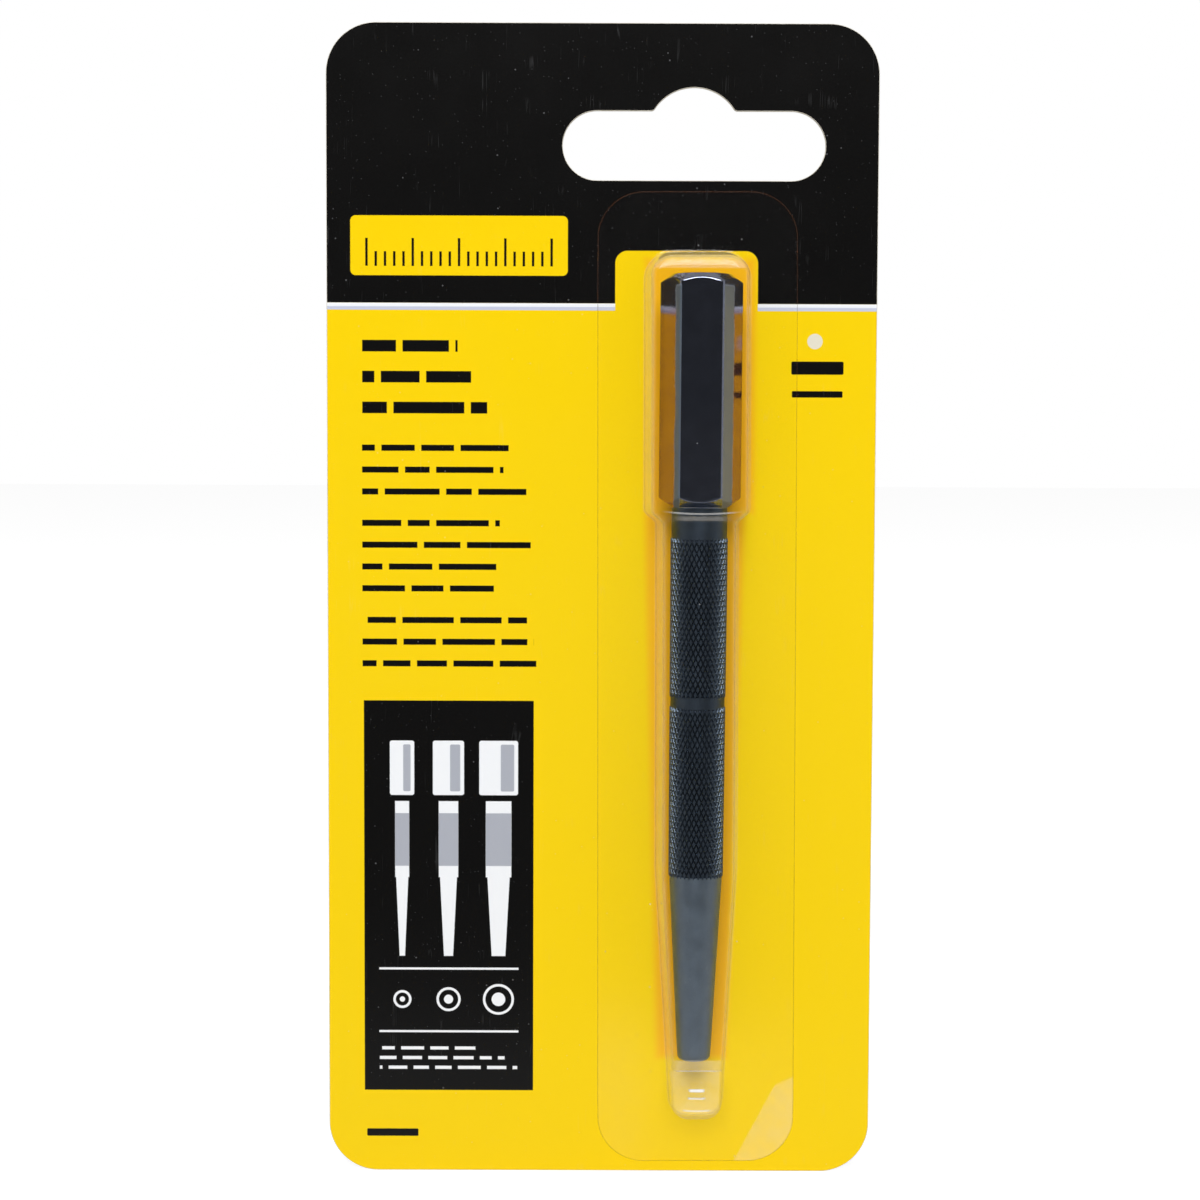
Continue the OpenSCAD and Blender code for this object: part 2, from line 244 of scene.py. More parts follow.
class Graph:
    """Short calls that put nodes into one tree and feed them."""

    # The Mix node's sockets for its share and its two colours, among those of other kinds.
    MIX_INPUTS = (0, 6, 7)
    MIX_OUTPUT = 2

    def __init__(self, tree: bpy.types.NodeTree) -> None:
        """Keeps the tree to build in."""
        self.tree = tree

    def feed(self, socket: Socket, value: Feed) -> None:
        """Links a socket to another, or sets its plain value."""
        if isinstance(value, bpy.types.NodeSocket):
            self.tree.links.new(value, socket)
        elif value is not None:
            socket.default_value = value

    def node(self, kind: str, settings: dict | None = None, **inputs: Feed) -> bpy.types.Node:
        """Adds a node.

        Args:
            kind: The node's type name.
            settings: Its properties.
            **inputs: Values or sockets by input name, with _ for a space.

        Returns:
            The node.
        """
        made = self.tree.nodes.new(kind)
        for key, value in (settings or {}).items():
            setattr(made, key, value)
        for key, value in inputs.items():
            self.feed(made.inputs[key.replace("_", " ")], value)
        return made

    def math(self, operation: str, a: Feed, b: Feed = None, c: Feed = None) -> Socket:
        """A Math node's result."""
        made = self.node("ShaderNodeMath", {"operation": operation})
        for socket, value in zip(made.inputs, (a, b, c)):
            self.feed(socket, value)
        return made.outputs[0]

    def plus(self, a: Feed, b: Feed) -> Socket:
        """The sum of two numbers."""
        return self.math("ADD", a, b)

    def minus(self, a: Feed, b: Feed) -> Socket:
        """A number less another."""
        return self.math("SUBTRACT", a, b)

    def over(self, a: Feed, b: Feed) -> Socket:
        """A number divided by another."""
        return self.math("DIVIDE", a, b)

    def times(self, *values: Feed) -> Socket:
        """The product of several numbers."""
        return reduce(lambda a, b: self.math("MULTIPLY", a, b), values)

    def most(self, *values: Feed) -> Socket:
        """The greatest of several numbers."""
        return reduce(lambda a, b: self.math("MAXIMUM", a, b), values)

    def line(self, value: Feed, slope: Feed, start: Feed) -> Socket:
        """A start plus a slope times a number."""
        return self.math("MULTIPLY_ADD", value, slope, start)

    def apart(self, a: Feed, b: Feed) -> Socket:
        """How far two numbers are apart."""
        return self.math("ABSOLUTE", self.minus(a, b))

    def rest(self, share: Feed) -> Socket:
        """What a share leaves of one."""
        return self.minus(1.0, share)

    def vector(self, operation: str, a: Feed, b: Feed = None) -> Socket:
        """A Vector Math node's result."""
        made = self.node("ShaderNodeVectorMath", {"operation": operation})
        for socket, value in zip(made.inputs, (a, b)):
            self.feed(socket, value)
        return made.outputs["Value" if operation in ("LENGTH", "DOT_PRODUCT") else "Vector"]

    def length(self, x: Feed, y: Feed, z: Feed) -> Socket:
        """The length of a vector from three numbers."""
        return self.vector("LENGTH", self.join(x, y, z))

    def blend(self, share: Feed, a: Feed, b: Feed) -> Socket:
        """Colour a, turned into b by a share."""
        made = self.node("ShaderNodeMix", {"data_type": "RGBA"})
        for at, value in zip(self.MIX_INPUTS, (share, a, b)):
            self.feed(made.inputs[at], (*value, 1.0) if isinstance(value, tuple) else value)
        return made.outputs[self.MIX_OUTPUT]

    def ramp(self, value: Feed, low: Feed, high: Feed, start: float = 0.0,
             end: float = 1.0) -> Socket:
        """A value taken from low..high smoothly to start..end."""
        made = self.node("ShaderNodeMapRange", {"interpolation_type": "SMOOTHSTEP"},
                         Value=value, From_Min=low, From_Max=high, To_Min=start, To_Max=end)
        return made.outputs[0]

    def fall(self, value: Feed, low: Feed, high: Feed, start: float = 1.0) -> Socket:
        """A value taken from low..high smoothly down from start to nothing."""
        return self.ramp(value, low, high, start, 0.0)

    def parts(self, vector: Feed) -> list[Socket]:
        """The three numbers of a vector."""
        return list(self.node("ShaderNodeSeparateXYZ", Vector=vector).outputs)

    def join(self, x: Feed, y: Feed, z: Feed) -> Socket:
        """A vector from three numbers."""
        return self.node("ShaderNodeCombineXYZ", X=x, Y=y, Z=z).outputs[0]

    def noise(self, at: Feed, scale: Feed, detail: float, roughness: float = 0.5) -> Socket:
        """Smooth noise round 0.5."""
        return self.node("ShaderNodeTexNoise", {"noise_dimensions": "3D"}, Vector=at, Scale=scale,
                         Detail=detail, Roughness=roughness).outputs["Fac"]

    def bump(self, height: Feed, strength: float, depth: float) -> Socket:
        """A normal that rises and falls by a depth in millimetres."""
        return self.node("ShaderNodeBump", Strength=strength, Distance=depth * MM,
                         Height=height).outputs[0]

    def group(self, tree: bpy.types.NodeTree, *row: Feed, **inputs: Feed) -> Socket:
        """Places a shared group, fed by a row in the order of its inputs, and by name."""
        made = self.node("ShaderNodeGroup", {"node_tree": tree}, **inputs)
        for socket, value in zip(made.inputs, row):
            self.feed(socket, value)
        return made.outputs[0]


def shader_group(name: str, **inputs: float) -> tuple[Graph, dict[str, Socket], Socket]:
    """Starts a shader node group that makes a mask from a place.

    Args:
        name: The group's name.
        **inputs: Its inputs after the place with their usual values, with _ for a space.

    Returns:
        The graph to build in, the sockets of the inputs by name, and the mask's socket.
    """
    tree = bpy.data.node_groups.new(name, "ShaderNodeTree")
    tree.interface.new_socket(name="Place", in_out="INPUT", socket_type="NodeSocketVector")
    for key, value in inputs.items():
        made = tree.interface.new_socket(name=key.replace("_", " "), in_out="INPUT",
                                         socket_type="NodeSocketFloat")
        made.default_value = value
    tree.interface.new_socket(name="Mask", in_out="OUTPUT", socket_type="NodeSocketFloat")
    graph = Graph(tree)
    start, end = graph.node("NodeGroupInput"), graph.node("NodeGroupOutput")
    names = ["Place", *(key.replace("_", " ") for key in inputs)]
    return graph, {key: start.outputs[key] for key in names}, end.inputs[0]


class Groups:
    """The shader node groups that several finishes share."""

    INK_EDGE = 0.045

    def __init__(self) -> None:
        """Builds each group once."""
        self.box = self._box()
        self.ring = self._ring()
        self.pin = self._pin()
        self.lines = self._lines()
        self.ticks = self._ticks()
        self.specks = self._specks()
        self.hairs = self._hairs()
        self.mottle = self._mottle()

    def _ink(self, g: Graph, away: Socket) -> Socket:
        """Ink wherever the distance from a printed shape is under zero."""
        return g.fall(away, -self.INK_EDGE, self.INK_EDGE)

    def _box(self) -> bpy.types.NodeTree:
        """A printed box with round corners, from its middle and half sizes."""
        g, s, out = shader_group("InkBox", X=0.0, Z=0.0, Half_W=1.0, Half_H=1.0, Round=0.2)
        x, _, z = g.parts(s["Place"])
        over_x, over_z = (
            g.most(g.plus(g.minus(g.apart(at, s[middle]), s[half]), s["Round"]), 0.0)
            for at, middle, half in ((x, "X", "Half W"), (z, "Z", "Half H")))
        g.feed(out, self._ink(g, g.minus(g.length(over_x, 0.0, over_z), s["Round"])))
        return g.tree

    def _ring(self) -> bpy.types.NodeTree:
        """A printed ring or, with a radius of 0, a dot."""
        g, s, out = shader_group("InkRing", X=0.0, Z=0.0, Radius=1.0, Half_W=0.2)
        x, _, z = g.parts(s["Place"])
        far = g.length(g.minus(x, s["X"]), 0.0, g.minus(z, s["Z"]))
        g.feed(out, self._ink(g, g.minus(g.apart(far, s["Radius"]), s["Half W"])))
        return g.tree

    def _pin(self) -> bpy.types.NodeTree:
        """A printed upright shape whose width runs evenly from its top to its bottom."""
        g, s, out = shader_group("InkPin", X=0.0, Top=1.0, Bottom=-1.0, Half_Top=1.0,
                                 Half_Bottom=0.5, Soft=self.INK_EDGE)
        x, _, z = g.parts(s["Place"])
        share = g.over(g.minus(z, s["Bottom"]), g.minus(s["Top"], s["Bottom"]))
        half = g.line(share, g.minus(s["Half Top"], s["Half Bottom"]), s["Half Bottom"])
        away = g.most(g.minus(g.apart(x, s["X"]), half), g.minus(z, s["Top"]),
                      g.minus(s["Bottom"], z))
        g.feed(out, g.fall(away, g.times(s["Soft"], -1.0), s["Soft"]))
        return g.tree

    def _lines(self) -> bpy.types.NodeTree:
        """Rows of plain dashes of uneven length, such as fill the place of a paragraph."""
        g, s, out = shader_group("InkDashes", Left=0.0, Top=0.0, Width=20.0, Pitch=2.8, Rows=3.0,
                                 Thick=1.0, Dash=5.0, Seed=1.0)
        half_gap = 0.42
        slide_draw, reach_draw = 0.37, 7.7

        def chance(a: Socket, b: Feed) -> Socket:
            """A number from 0 to 1 that depends on two others."""
            noise = g.node("ShaderNodeTexWhiteNoise", {"noise_dimensions": "3D"},
                           Vector=g.join(a, b, s["Seed"]))
            return noise.outputs["Value"]

        x, _, z = g.parts(s["Place"])
        along = g.minus(x, s["Left"])
        down = g.over(g.minus(s["Top"], z), s["Pitch"])
        row = g.math("FLOOR", down)
        half_rows = g.times(s["Rows"], 0.5)
        inside = g.math("COMPARE", g.plus(row, 0.5), half_rows, half_rows)
        level = g.times(g.minus(g.math("FRACT", down), 0.5), s["Pitch"])
        slid = g.plus(g.over(along, s["Dash"]), chance(row, slide_draw))
        split = g.line(chance(row, g.math("FLOOR", slid)), 0.5, 0.25)
        from_split = g.times(g.apart(g.math("FRACT", slid), split), s["Dash"])
        reach = g.times(s["Width"], g.line(chance(row, reach_draw), 0.3, 0.7))
        away = g.most(g.times(along, -1.0), g.minus(along, reach), g.minus(half_gap, from_split),
                      g.minus(g.math("ABSOLUTE", level), g.times(s["Thick"], 0.5)))
        g.feed(out, g.times(self._ink(g, away), inside))
        return g.tree

    def _ticks(self) -> bpy.types.NodeTree:
        """A row of upright marks, each fifth one longer, such as a rule has."""
        g, s, out = shader_group("InkTicks", Left=0.0, Base=0.0, Pitch=1.0, Count=21.0, Thick=0.25,
                                 Short=1.5, Long=3.0)
        x, _, z = g.parts(s["Place"])
        along = g.over(g.minus(x, s["Left"]), s["Pitch"])
        nearest = g.math("ROUND", along)
        aside = g.times(g.apart(along, nearest), s["Pitch"])
        fifth = g.math("COMPARE", g.math("MODULO", nearest, 5.0), 0.0, 0.5)
        tall = g.line(fifth, g.minus(s["Long"], s["Short"]), s["Short"])
        rise = g.minus(z, s["Base"])
        away = g.most(g.minus(aside, g.times(s["Thick"], 0.5)), g.times(rise, -1.0),
                      g.minus(rise, tall), g.minus(-0.5, along),
                      g.minus(along, g.minus(s["Count"], 0.5)))
        g.feed(out, self._ink(g, away))
        return g.tree

    def _specks(self) -> bpy.types.NodeTree:
        """Scattered small specks of uneven size, such as dust or pits."""
        g, s, out = shader_group("Specks", Per_mm=1.0, Amount=0.1, Radius=0.2)
        cells = g.node("ShaderNodeTexVoronoi", {"feature": "F1"}, Vector=s["Place"],
                       Scale=s["Per mm"])
        pick, size, _ = g.parts(cells.outputs["Color"])
        r = g.times(s["Radius"], g.line(size, 0.8, 0.2))
        mask = g.fall(g.minus(g.over(cells.outputs["Distance"], r), 1.0), -0.5, 0.2)
        g.feed(out, g.times(mask, g.math("LESS_THAN", pick, s["Amount"])))
        return g.tree

    def _hairs(self) -> bpy.types.NodeTree:
        """Fine hairline scratches along the place's third direction."""
        g, s, out = shader_group("Hairlines", Per_mm=1.0, Amount=0.1, Stretch=0.05)
        x, y, z = (g.times(part, s["Per mm"]) for part in g.parts(s["Place"]))
        noise = g.noise(g.join(x, y, g.times(z, s["Stretch"])), 1.0, 2.0, 0.6)
        line = g.fall(g.apart(noise, 0.5), 0.0, 0.012)
        broad = g.noise(s["Place"], 0.35, 1.0)
        g.feed(out, g.times(line, g.ramp(broad, g.minus(0.75, s["Amount"]), 0.75)))
        return g.tree

    def _mottle(self) -> bpy.types.NodeTree:
        """An even cloudiness round 0.5 at two scales."""
        g, s, out = shader_group("Mottle", Per_mm=0.3, Fine=4.0)
        broad, fine = g.noise(s["Place"], s["Per mm"], 3.0), g.noise(s["Place"], s["Fine"], 2.0)
        g.feed(out, g.line(fine, 0.35, g.times(broad, 0.65)))
        return g.tree


def material(name: str) -> tuple[Graph, bpy.types.Material, Socket, Socket]:
    """Starts a material.

    Args:
        name: The material's name.

    Returns:
        Its graph, the material, the Object coordinates in millimetres and the socket
        that the surface goes into.
    """
    made = bpy.data.materials.new(name)
    made.use_nodes = True
    made.node_tree.nodes.clear()
    graph = Graph(made.node_tree)
    out = graph.node("ShaderNodeOutputMaterial")
    where = graph.node("ShaderNodeTexCoord").outputs["Object"]
    place = graph.node("ShaderNodeMapping", Vector=where, Scale=(1 / MM, 1 / MM, 1 / MM))
    return graph, made, place.outputs[0], out.inputs["Surface"]


@dataclass(frozen=True)
class PrintedBoard:
    """Coated board printed black and yellow, with plain shapes where print belongs.

    The rows of numbers feed the shared groups in the order of their inputs. A bar is its
    middle x and z, half width, half height and corner radius. A block of dashes is its left,
    top, width, pitch, count of rows, thickness, dash and seed. A patch of painted pocket shade
    is its x, top, bottom, half width at each and softness. A pin is its x, half width and half
    width at its point.
    """

    groups: Groups
    black: Colour = (0.0042, 0.0040, 0.0039)
    yellow: Colour = (0.96, 0.66, 0.0008)
    white: Colour = (0.90, 0.92, 0.95)
    cool: Colour = (0.56, 0.60, 0.75)
    # Painted shade: the deeper amber that the yellow turns round the tool, inside the pocket.
    pocket_shade_amber: Colour = (0.96, 0.47, 0.010)
    cream: Colour = (0.80, 0.76, 0.62)
    grey: Colour = (0.42, 0.44, 0.50)
    black_z: float = -27.75
    line_z: float = -28.65
    line_turn: Pair = (-28.30, -28.10)
    tab: Row = (-0.88, -26.0, 9.26, 5.06, 1.6)
    pocket_shade_patches: tuple[Row, ...] = ((0.9, -22.0, -54.8, 7.1, 7.1, 0.7),
                              (0.35, -54.0, -127.0, 6.5, 4.6, 0.7))
    pocket_shade_share: float = 0.9
    sign: Row = (-30.4, -20.35, 14.1, 3.85, 0.7)
    ticks: Row = (-42.4, -23.0, 1.2, 21.0, 0.32, 1.9, 3.6)
    dashes: tuple[Row, ...] = ((-43.0, -31.3, 16.6, 4.0, 3.0, 1.5, 9.0, 1.0),
                               (-43.05, -45.1, 25.0, 2.85, 3.0, 0.8, 6.3, 5.0),
                               (-43.05, -54.9, 24.0, 2.85, 4.0, 0.8, 6.9, 11.0),
                               (-43.05, -67.6, 25.2, 2.85, 3.0, 0.8, 5.7, 17.0))
    bars: tuple[Row, ...] = ((16.2, -36.0, 3.4, 0.85, 0.2), (16.2, -39.4, 3.3, 0.42, 0.15),
                             (-39.2, -137.2, 3.4, 0.5, 0.15))
    dot: Row = (15.85, -32.55, 0.0, 1.0)
    panel: Row = (-31.75, -105.55, 11.15, 25.95, 0.05)
    pins: tuple[Row, ...] = ((-37.9, 1.15, 0.35), (-31.8, 1.6, 0.6), (-25.2, 2.1, 0.9))
    pins_z: float = -88.5
    rings_z: float = -119.3
    ring_half: float = 0.16
    rules: tuple[Row, ...] = ((-31.75, -115.2, 9.2, 0.14, 0.05), (-31.75, -123.6, 9.2, 0.14, 0.05))
    caption: Row = (-40.9, -125.2, 18.2, 1.3, 3.0, 0.42, 3.1, 9.0)
    dust_share: float = 0.10
    hair_share: float = 0.02

    @staticmethod
    def _any(g: Graph, tree: bpy.types.NodeTree, at: Socket, rows: Sequence[Row]) -> Socket:
        """One mask of a group's shape at each of several rows."""
        return g.most(*(g.group(tree, at, *row) for row in rows))

    def _picture(self, g: Graph, at: Socket) -> tuple[Socket, Socket]:
        """Masks of the panel's pins and rings.

        Args:
            g: The material's graph.
            at: The place in millimetres.

        Returns:
            The mask of the white shapes and the mask of the grey ones.
        """
        box, pin, z = self.groups.box, self.groups.pin, self.pins_z
        heads = [(x, z, wide + 0.45, 3.6, 0.3) for x, wide, _ in self.pins]
        shades = [(x + wide * 0.55, z, wide * 0.42, 3.1, 0.2) for x, wide, _ in self.pins]
        grips = [(x, z - 4.4, z - 14.5, wide * 0.8, wide * 0.8) for x, wide, _ in self.pins]
        knurls = [(x, z - 6.0, z - 13.0, wide * 0.8, wide * 0.8) for x, wide, _ in self.pins]
        points = [(x, z - 14.4, z - 25.0, wide * 0.7, tip) for x, wide, tip in self.pins]
        rings = [(x, self.rings_z, wide * 0.9, self.ring_half) for x, wide, _ in self.pins]
        dots = [(x, self.rings_z, 0.0, tip) for x, _, tip in self.pins]
        white = g.most(self._any(g, box, at, [*heads, *self.rules]),
                       self._any(g, pin, at, grips + points),
                       self._any(g, self.groups.ring, at, rings + dots),
                       g.group(self.groups.lines, at, *self.caption))
        return white, g.most(self._any(g, box, at, shades), self._any(g, pin, at, knurls))

    def _worn(self, g: Graph, at: Socket) -> Socket:
        """Share of white dust and hairline scratches over the print."""
        specks = self.groups.specks
        dust = g.group(specks, at, Per_mm=0.55, Amount=0.5, Radius=0.09)
        fine = g.group(specks, at, Per_mm=1.9, Amount=0.28, Radius=0.13)
        hairs = g.group(self.groups.hairs, at, Per_mm=0.5, Amount=0.2, Stretch=0.04)
        dust = g.times(g.most(dust, g.times(fine, 0.6)), self.dust_share)
        return g.most(dust, g.times(hairs, self.hair_share))

    def made(self) -> bpy.types.Material:
        """The material of the board's front."""
        g, made, at, surface = material("printed_front")
        box, z, edge = self.groups.box, g.parts(at)[2], self.groups.INK_EDGE
        black_top = g.ramp(z, self.black_z - edge, self.black_z + edge)
        line = g.times(g.ramp(z, self.line_z - edge, self.line_z + edge), g.rest(black_top))
        line_colour = g.blend(g.fall(z, *self.line_turn), self.white, self.cool)
        off_tab = g.rest(g.group(box, at, *self.tab))
        # Painted shade: round the tool the yellow is painted deeper amber, as shade and light
        # bounced inside the pocket would tint it.
        glow = g.times(self._any(g, self.groups.pin, at, self.pocket_shade_patches), self.pocket_shade_share)
        dark = g.most(g.group(self.groups.ticks, at, *self.ticks),
                      self._any(g, self.groups.lines, at, self.dashes),
                      self._any(g, box, at, self.bars))
        white, grey = self._picture(g, at)
        ground = g.blend(glow, self.yellow, self.pocket_shade_amber)
        for mask, ink in ((g.times(black_top, off_tab), self.black),
                          (g.times(line, off_tab), line_colour),
                          (g.group(box, at, *self.sign), self.yellow),
                          (dark, self.black),
                          (g.group(self.groups.ring, at, *self.dot), self.cream),
                          (g.group(box, at, *self.panel), self.black),
                          (white, self.white),
                          (grey, self.grey),
                          (self._worn(g, at), self.white)):
            ground = g.blend(mask, ground, ink)
        cloud = g.group(self.groups.mottle, at, Per_mm=0.12, Fine=3.0)
        skin = g.node("ShaderNodeBsdfPrincipled", Base_Color=ground,
                      Roughness=g.line(cloud, 0.12, 0.16), Normal=g.bump(cloud, 0.05, 0.02),
                      Specular_IOR_Level=0.25)
        g.feed(surface, skin.outputs[0])
        return made


@dataclass(frozen=True)
class BareBoard:
    """Uncoated board, as its cut edge or its back shows it."""

    groups: Groups
    name: str
    colour: Colour
    fibre: Colour
    per_mm: float = 2.0

    def made(self) -> bpy.types.Material:
        """The material."""
        g, made, at, surface = material(self.name)
        cloud = g.group(self.groups.mottle, at, Per_mm=self.per_mm * 0.2, Fine=self.per_mm * 3)
        bits = g.group(self.groups.specks, at, Per_mm=self.per_mm * 0.5, Amount=0.3, Radius=0.12)
        share = g.most(g.ramp(cloud, 0.35, 0.65, 0.0, 0.5), g.times(bits, 0.5))
        skin = g.node("ShaderNodeBsdfPrincipled",
                      Base_Color=g.blend(share, self.colour, self.fibre),
                      Roughness=g.ramp(cloud, 0.3, 0.7, 0.78, 0.92),
                      Normal=g.bump(cloud, 0.25, 0.04), Specular_IOR_Level=0.2)
        g.feed(surface, skin.outputs[0])
        return made


@dataclass(frozen=True)
class ClearSheet:
    """Clear formed plastic: it mirrors more at a slant and is cloudy where it was drawn.
    The veil on its slanted walls is partly that haze and partly a painted sheen.

    Each pair of numbers is a stretch of x, y, z, distance, white or flatness over which a haze
    or tone comes or goes, apart from the corner patch's spot and direction, which are x and z.
    A painted highlight line at a bend is its level, its sag, its reach aside, its share of white
    and its thickness.
    """

    groups: Groups
    tint: Colour = (0.999, 0.999, 0.998)
    facing: float = 0.010
    roughness: float = 0.06
    warm: Colour = (0.90, 0.76, 0.55)
    # White of the painted highlight lines and of the dust specks.
    white: Colour = (0.92, 0.93, 0.95)
    rust: Colour = (0.14, 0.05, 0.02)
    # Veil on slanted walls: haze of the drawn sheet, and partly a painted sheen for the walls'
    # highlights.
    wall_haze_and_sheen: float = 0.15
    wall_flat: Pair = (0.15, 0.95)
    rim_flat: Pair = (0.80, 0.95)
    white_from: Pair = (0.03, 0.15)
    patchy: Row = (0.25, 0.7, 0.6, 1.25)
    end_haze: float = 0.15
    patch_haze: float = 0.12
    pale_haze: float = 0.012
    rim_haze: float = 0.3
    dust_haze: float = 0.3
    foot_x: float = 0.4
    foot_aside: Pair = (3.3, 3.8)
    foot_y: Pair = (-4.2, -3.6)
    foot_top: Pair = (-125.6, -125.3)
    foot_end: Pair = (-133.7, -133.2)
    crown_y: Pair = (-5.0, -4.0)
    crown_z: Pair = (-24.0, -23.7)
    patch_spot: Pair = (8.9, -135.3)
    patch_way: Pair = (0.885, -0.466)
    patch_side: Pair = (-0.1, 0.25)
    patch_slope: float = -0.47
    patch_foot: Pair = (-136.4, -135.7)
    pale_x: Pair = (-9.0, -3.0)
    pale_z: Pair = (-130.0, -115.0)
    rim_y: Pair = (-0.96, -0.92)
    # Painted highlights: the middle x and front y of the bright lines at the bends.
    highlight_middle_x: float = 0.9
    highlight_front_y: Pair = (-4.7, -4.3)
    painted_highlight_lines: tuple[Row, ...] = (
        (-54.75, 0.012, 5.4, 0.21, 0.12), (-55.35, 0.0, 4.2, 0.10, 0.30),
        (-127.15, 0.0, 3.4, 0.85, 0.16), (-133.0, 0.03, 2.4, 0.45, 0.10),
        (-130.15, 0.0, 1.3, 0.90, 0.18), (-131.3, 0.0, 1.4, 0.80, 0.13))

    def _cloudy(self, g: Graph, at: Socket) -> Socket:
        """How cloudy the pocket's two ends and the flange's lower corners are.

        Args:
            g: The material's graph.
            at: The place in millimetres.

        Returns:
            The share of haze.
        """
        x, y, z = g.parts(at)
        foot = g.times(g.fall(g.apart(x, self.foot_x), *self.foot_aside, self.end_haze),
                       g.fall(y, *self.foot_y), g.fall(z, *self.foot_top),
                       g.ramp(z, *self.foot_end))
        crown = g.times(g.ramp(z, *self.crown_z, 0.0, self.end_haze), g.fall(y, *self.crown_y))
        across = g.plus(g.times(g.minus(x, self.patch_spot[0]), self.patch_way[0]),
                        g.times(g.minus(z, self.patch_spot[1]), self.patch_way[1]))
        patch = g.times(g.ramp(across, *self.patch_side, 0.0, self.patch_haze),
                        g.fall(g.line(x, self.patch_slope, z), *self.patch_foot))
        pale = g.times(g.fall(x, *self.pale_x, self.pale_haze), g.fall(z, *self.pale_z))
        return g.most(foot, crown, patch, pale)

    def _painted_highlights(self, g: Graph, at: Socket) -> Socket:
        """Painted highlight lines at the sharp bends of the pocket's front and at its pad.

        Args:
            g: The material's graph.
            at: The place in millimetres.

        Returns:
            The share of white.
        """
        x, y, z = g.parts(at)
        off = g.minus(x, self.highlight_middle_x)
        marks = []
        for level, sag, reach, share, thick in self.painted_highlight_lines:
            near = g.apart(z, g.line(g.times(off, off), sag, level))
            marks.append(g.times(g.fall(near, thick * 0.5, thick * 1.3, share),
                                 g.fall(g.math("ABSOLUTE", off), reach * 0.5, reach)))
        return g.times(g.most(*marks), g.fall(y, *self.highlight_front_y))

    def made(self) -> bpy.types.Material:
        """The material, which lets light through unchanged for shadows and soft light."""
        g, made, at, surface = material("clear_sheet")
        cloud = g.group(self.groups.mottle, at, Per_mm=0.25, Fine=0.9)
        wavy = g.bump(cloud, 0.15, 0.1)
        slant = g.node("ShaderNodeLayerWeight", Blend=0.5, Normal=wavy).outputs["Facing"]
        mirror = g.line(g.math("POWER", slant, 5.0), 1.0 - self.facing, self.facing)
        normal = g.node("ShaderNodeNewGeometry").outputs["Normal"]
        flatness = g.math("ABSOLUTE", g.parts(normal)[1])
        rim = g.times(g.ramp(g.parts(at)[1], *self.rim_y), g.fall(flatness, *self.rim_flat))
        dust = g.group(self.groups.specks, at, Per_mm=0.35, Amount=0.3, Radius=0.05)
        # Painted highlights at the bends, together with the white dust specks.
        highlights_and_dust = g.most(self._painted_highlights(g, at), g.times(dust, self.dust_haze))
        # Veil on the slanted walls: part haze, part painted sheen.
        wall = g.fall(flatness, *self.wall_flat, self.wall_haze_and_sheen)
        cloudy = g.times(g.most(wall, self._cloudy(g, at)), g.ramp(cloud, *self.patchy))
        haze_and_highlights = g.most(cloudy, highlights_and_dust, g.times(rim, self.rim_haze))
        colour = g.blend(g.ramp(highlights_and_dust, *self.white_from), self.warm, self.white)
        path = g.node("ShaderNodeLightPath").outputs
        lit = g.most(path["Is Shadow Ray"], path["Is Diffuse Ray"])
        seen = g.times(g.rest(g.times(g.rest(mirror), g.rest(haze_and_highlights))), g.rest(lit))
        clear = g.node("ShaderNodeBsdfTransparent", Color=(*self.tint, 1.0))
        gloss = g.node("ShaderNodeBsdfAnisotropic", {"distribution": "GGX"},
                       Color=(1.0, 1.0, 1.0, 1.0), Roughness=self.roughness, Normal=wavy)
        milk = g.node("ShaderNodeBsdfDiffuse", Color=g.blend(rim, colour, self.rust))
        skin = g.node("ShaderNodeMixShader", Fac=g.over(haze_and_highlights, g.plus(haze_and_highlights, mirror)))
        both = g.node("ShaderNodeMixShader", Fac=seen)
        for mixed, first, second in ((skin, gloss, milk), (both, clear, skin)):
            g.feed(mixed.inputs[1], first.outputs[0])
            g.feed(mixed.inputs[2], second.outputs[0])
        g.feed(surface, both.outputs[0])
        return made


class Treatment(Enum):
    """How a length of the tool is finished: material's name, colour, roughness, unevenness."""

    HEAD = ("blued_head", (0.32, 0.355, 0.47), 0.10, 0.03)
    KNURL = ("blued_knurl", (0.092, 0.120, 0.158), 0.42, 0.05)
    GROUND = ("ground_taper", (0.245, 0.305, 0.375), 0.48, 0.10)


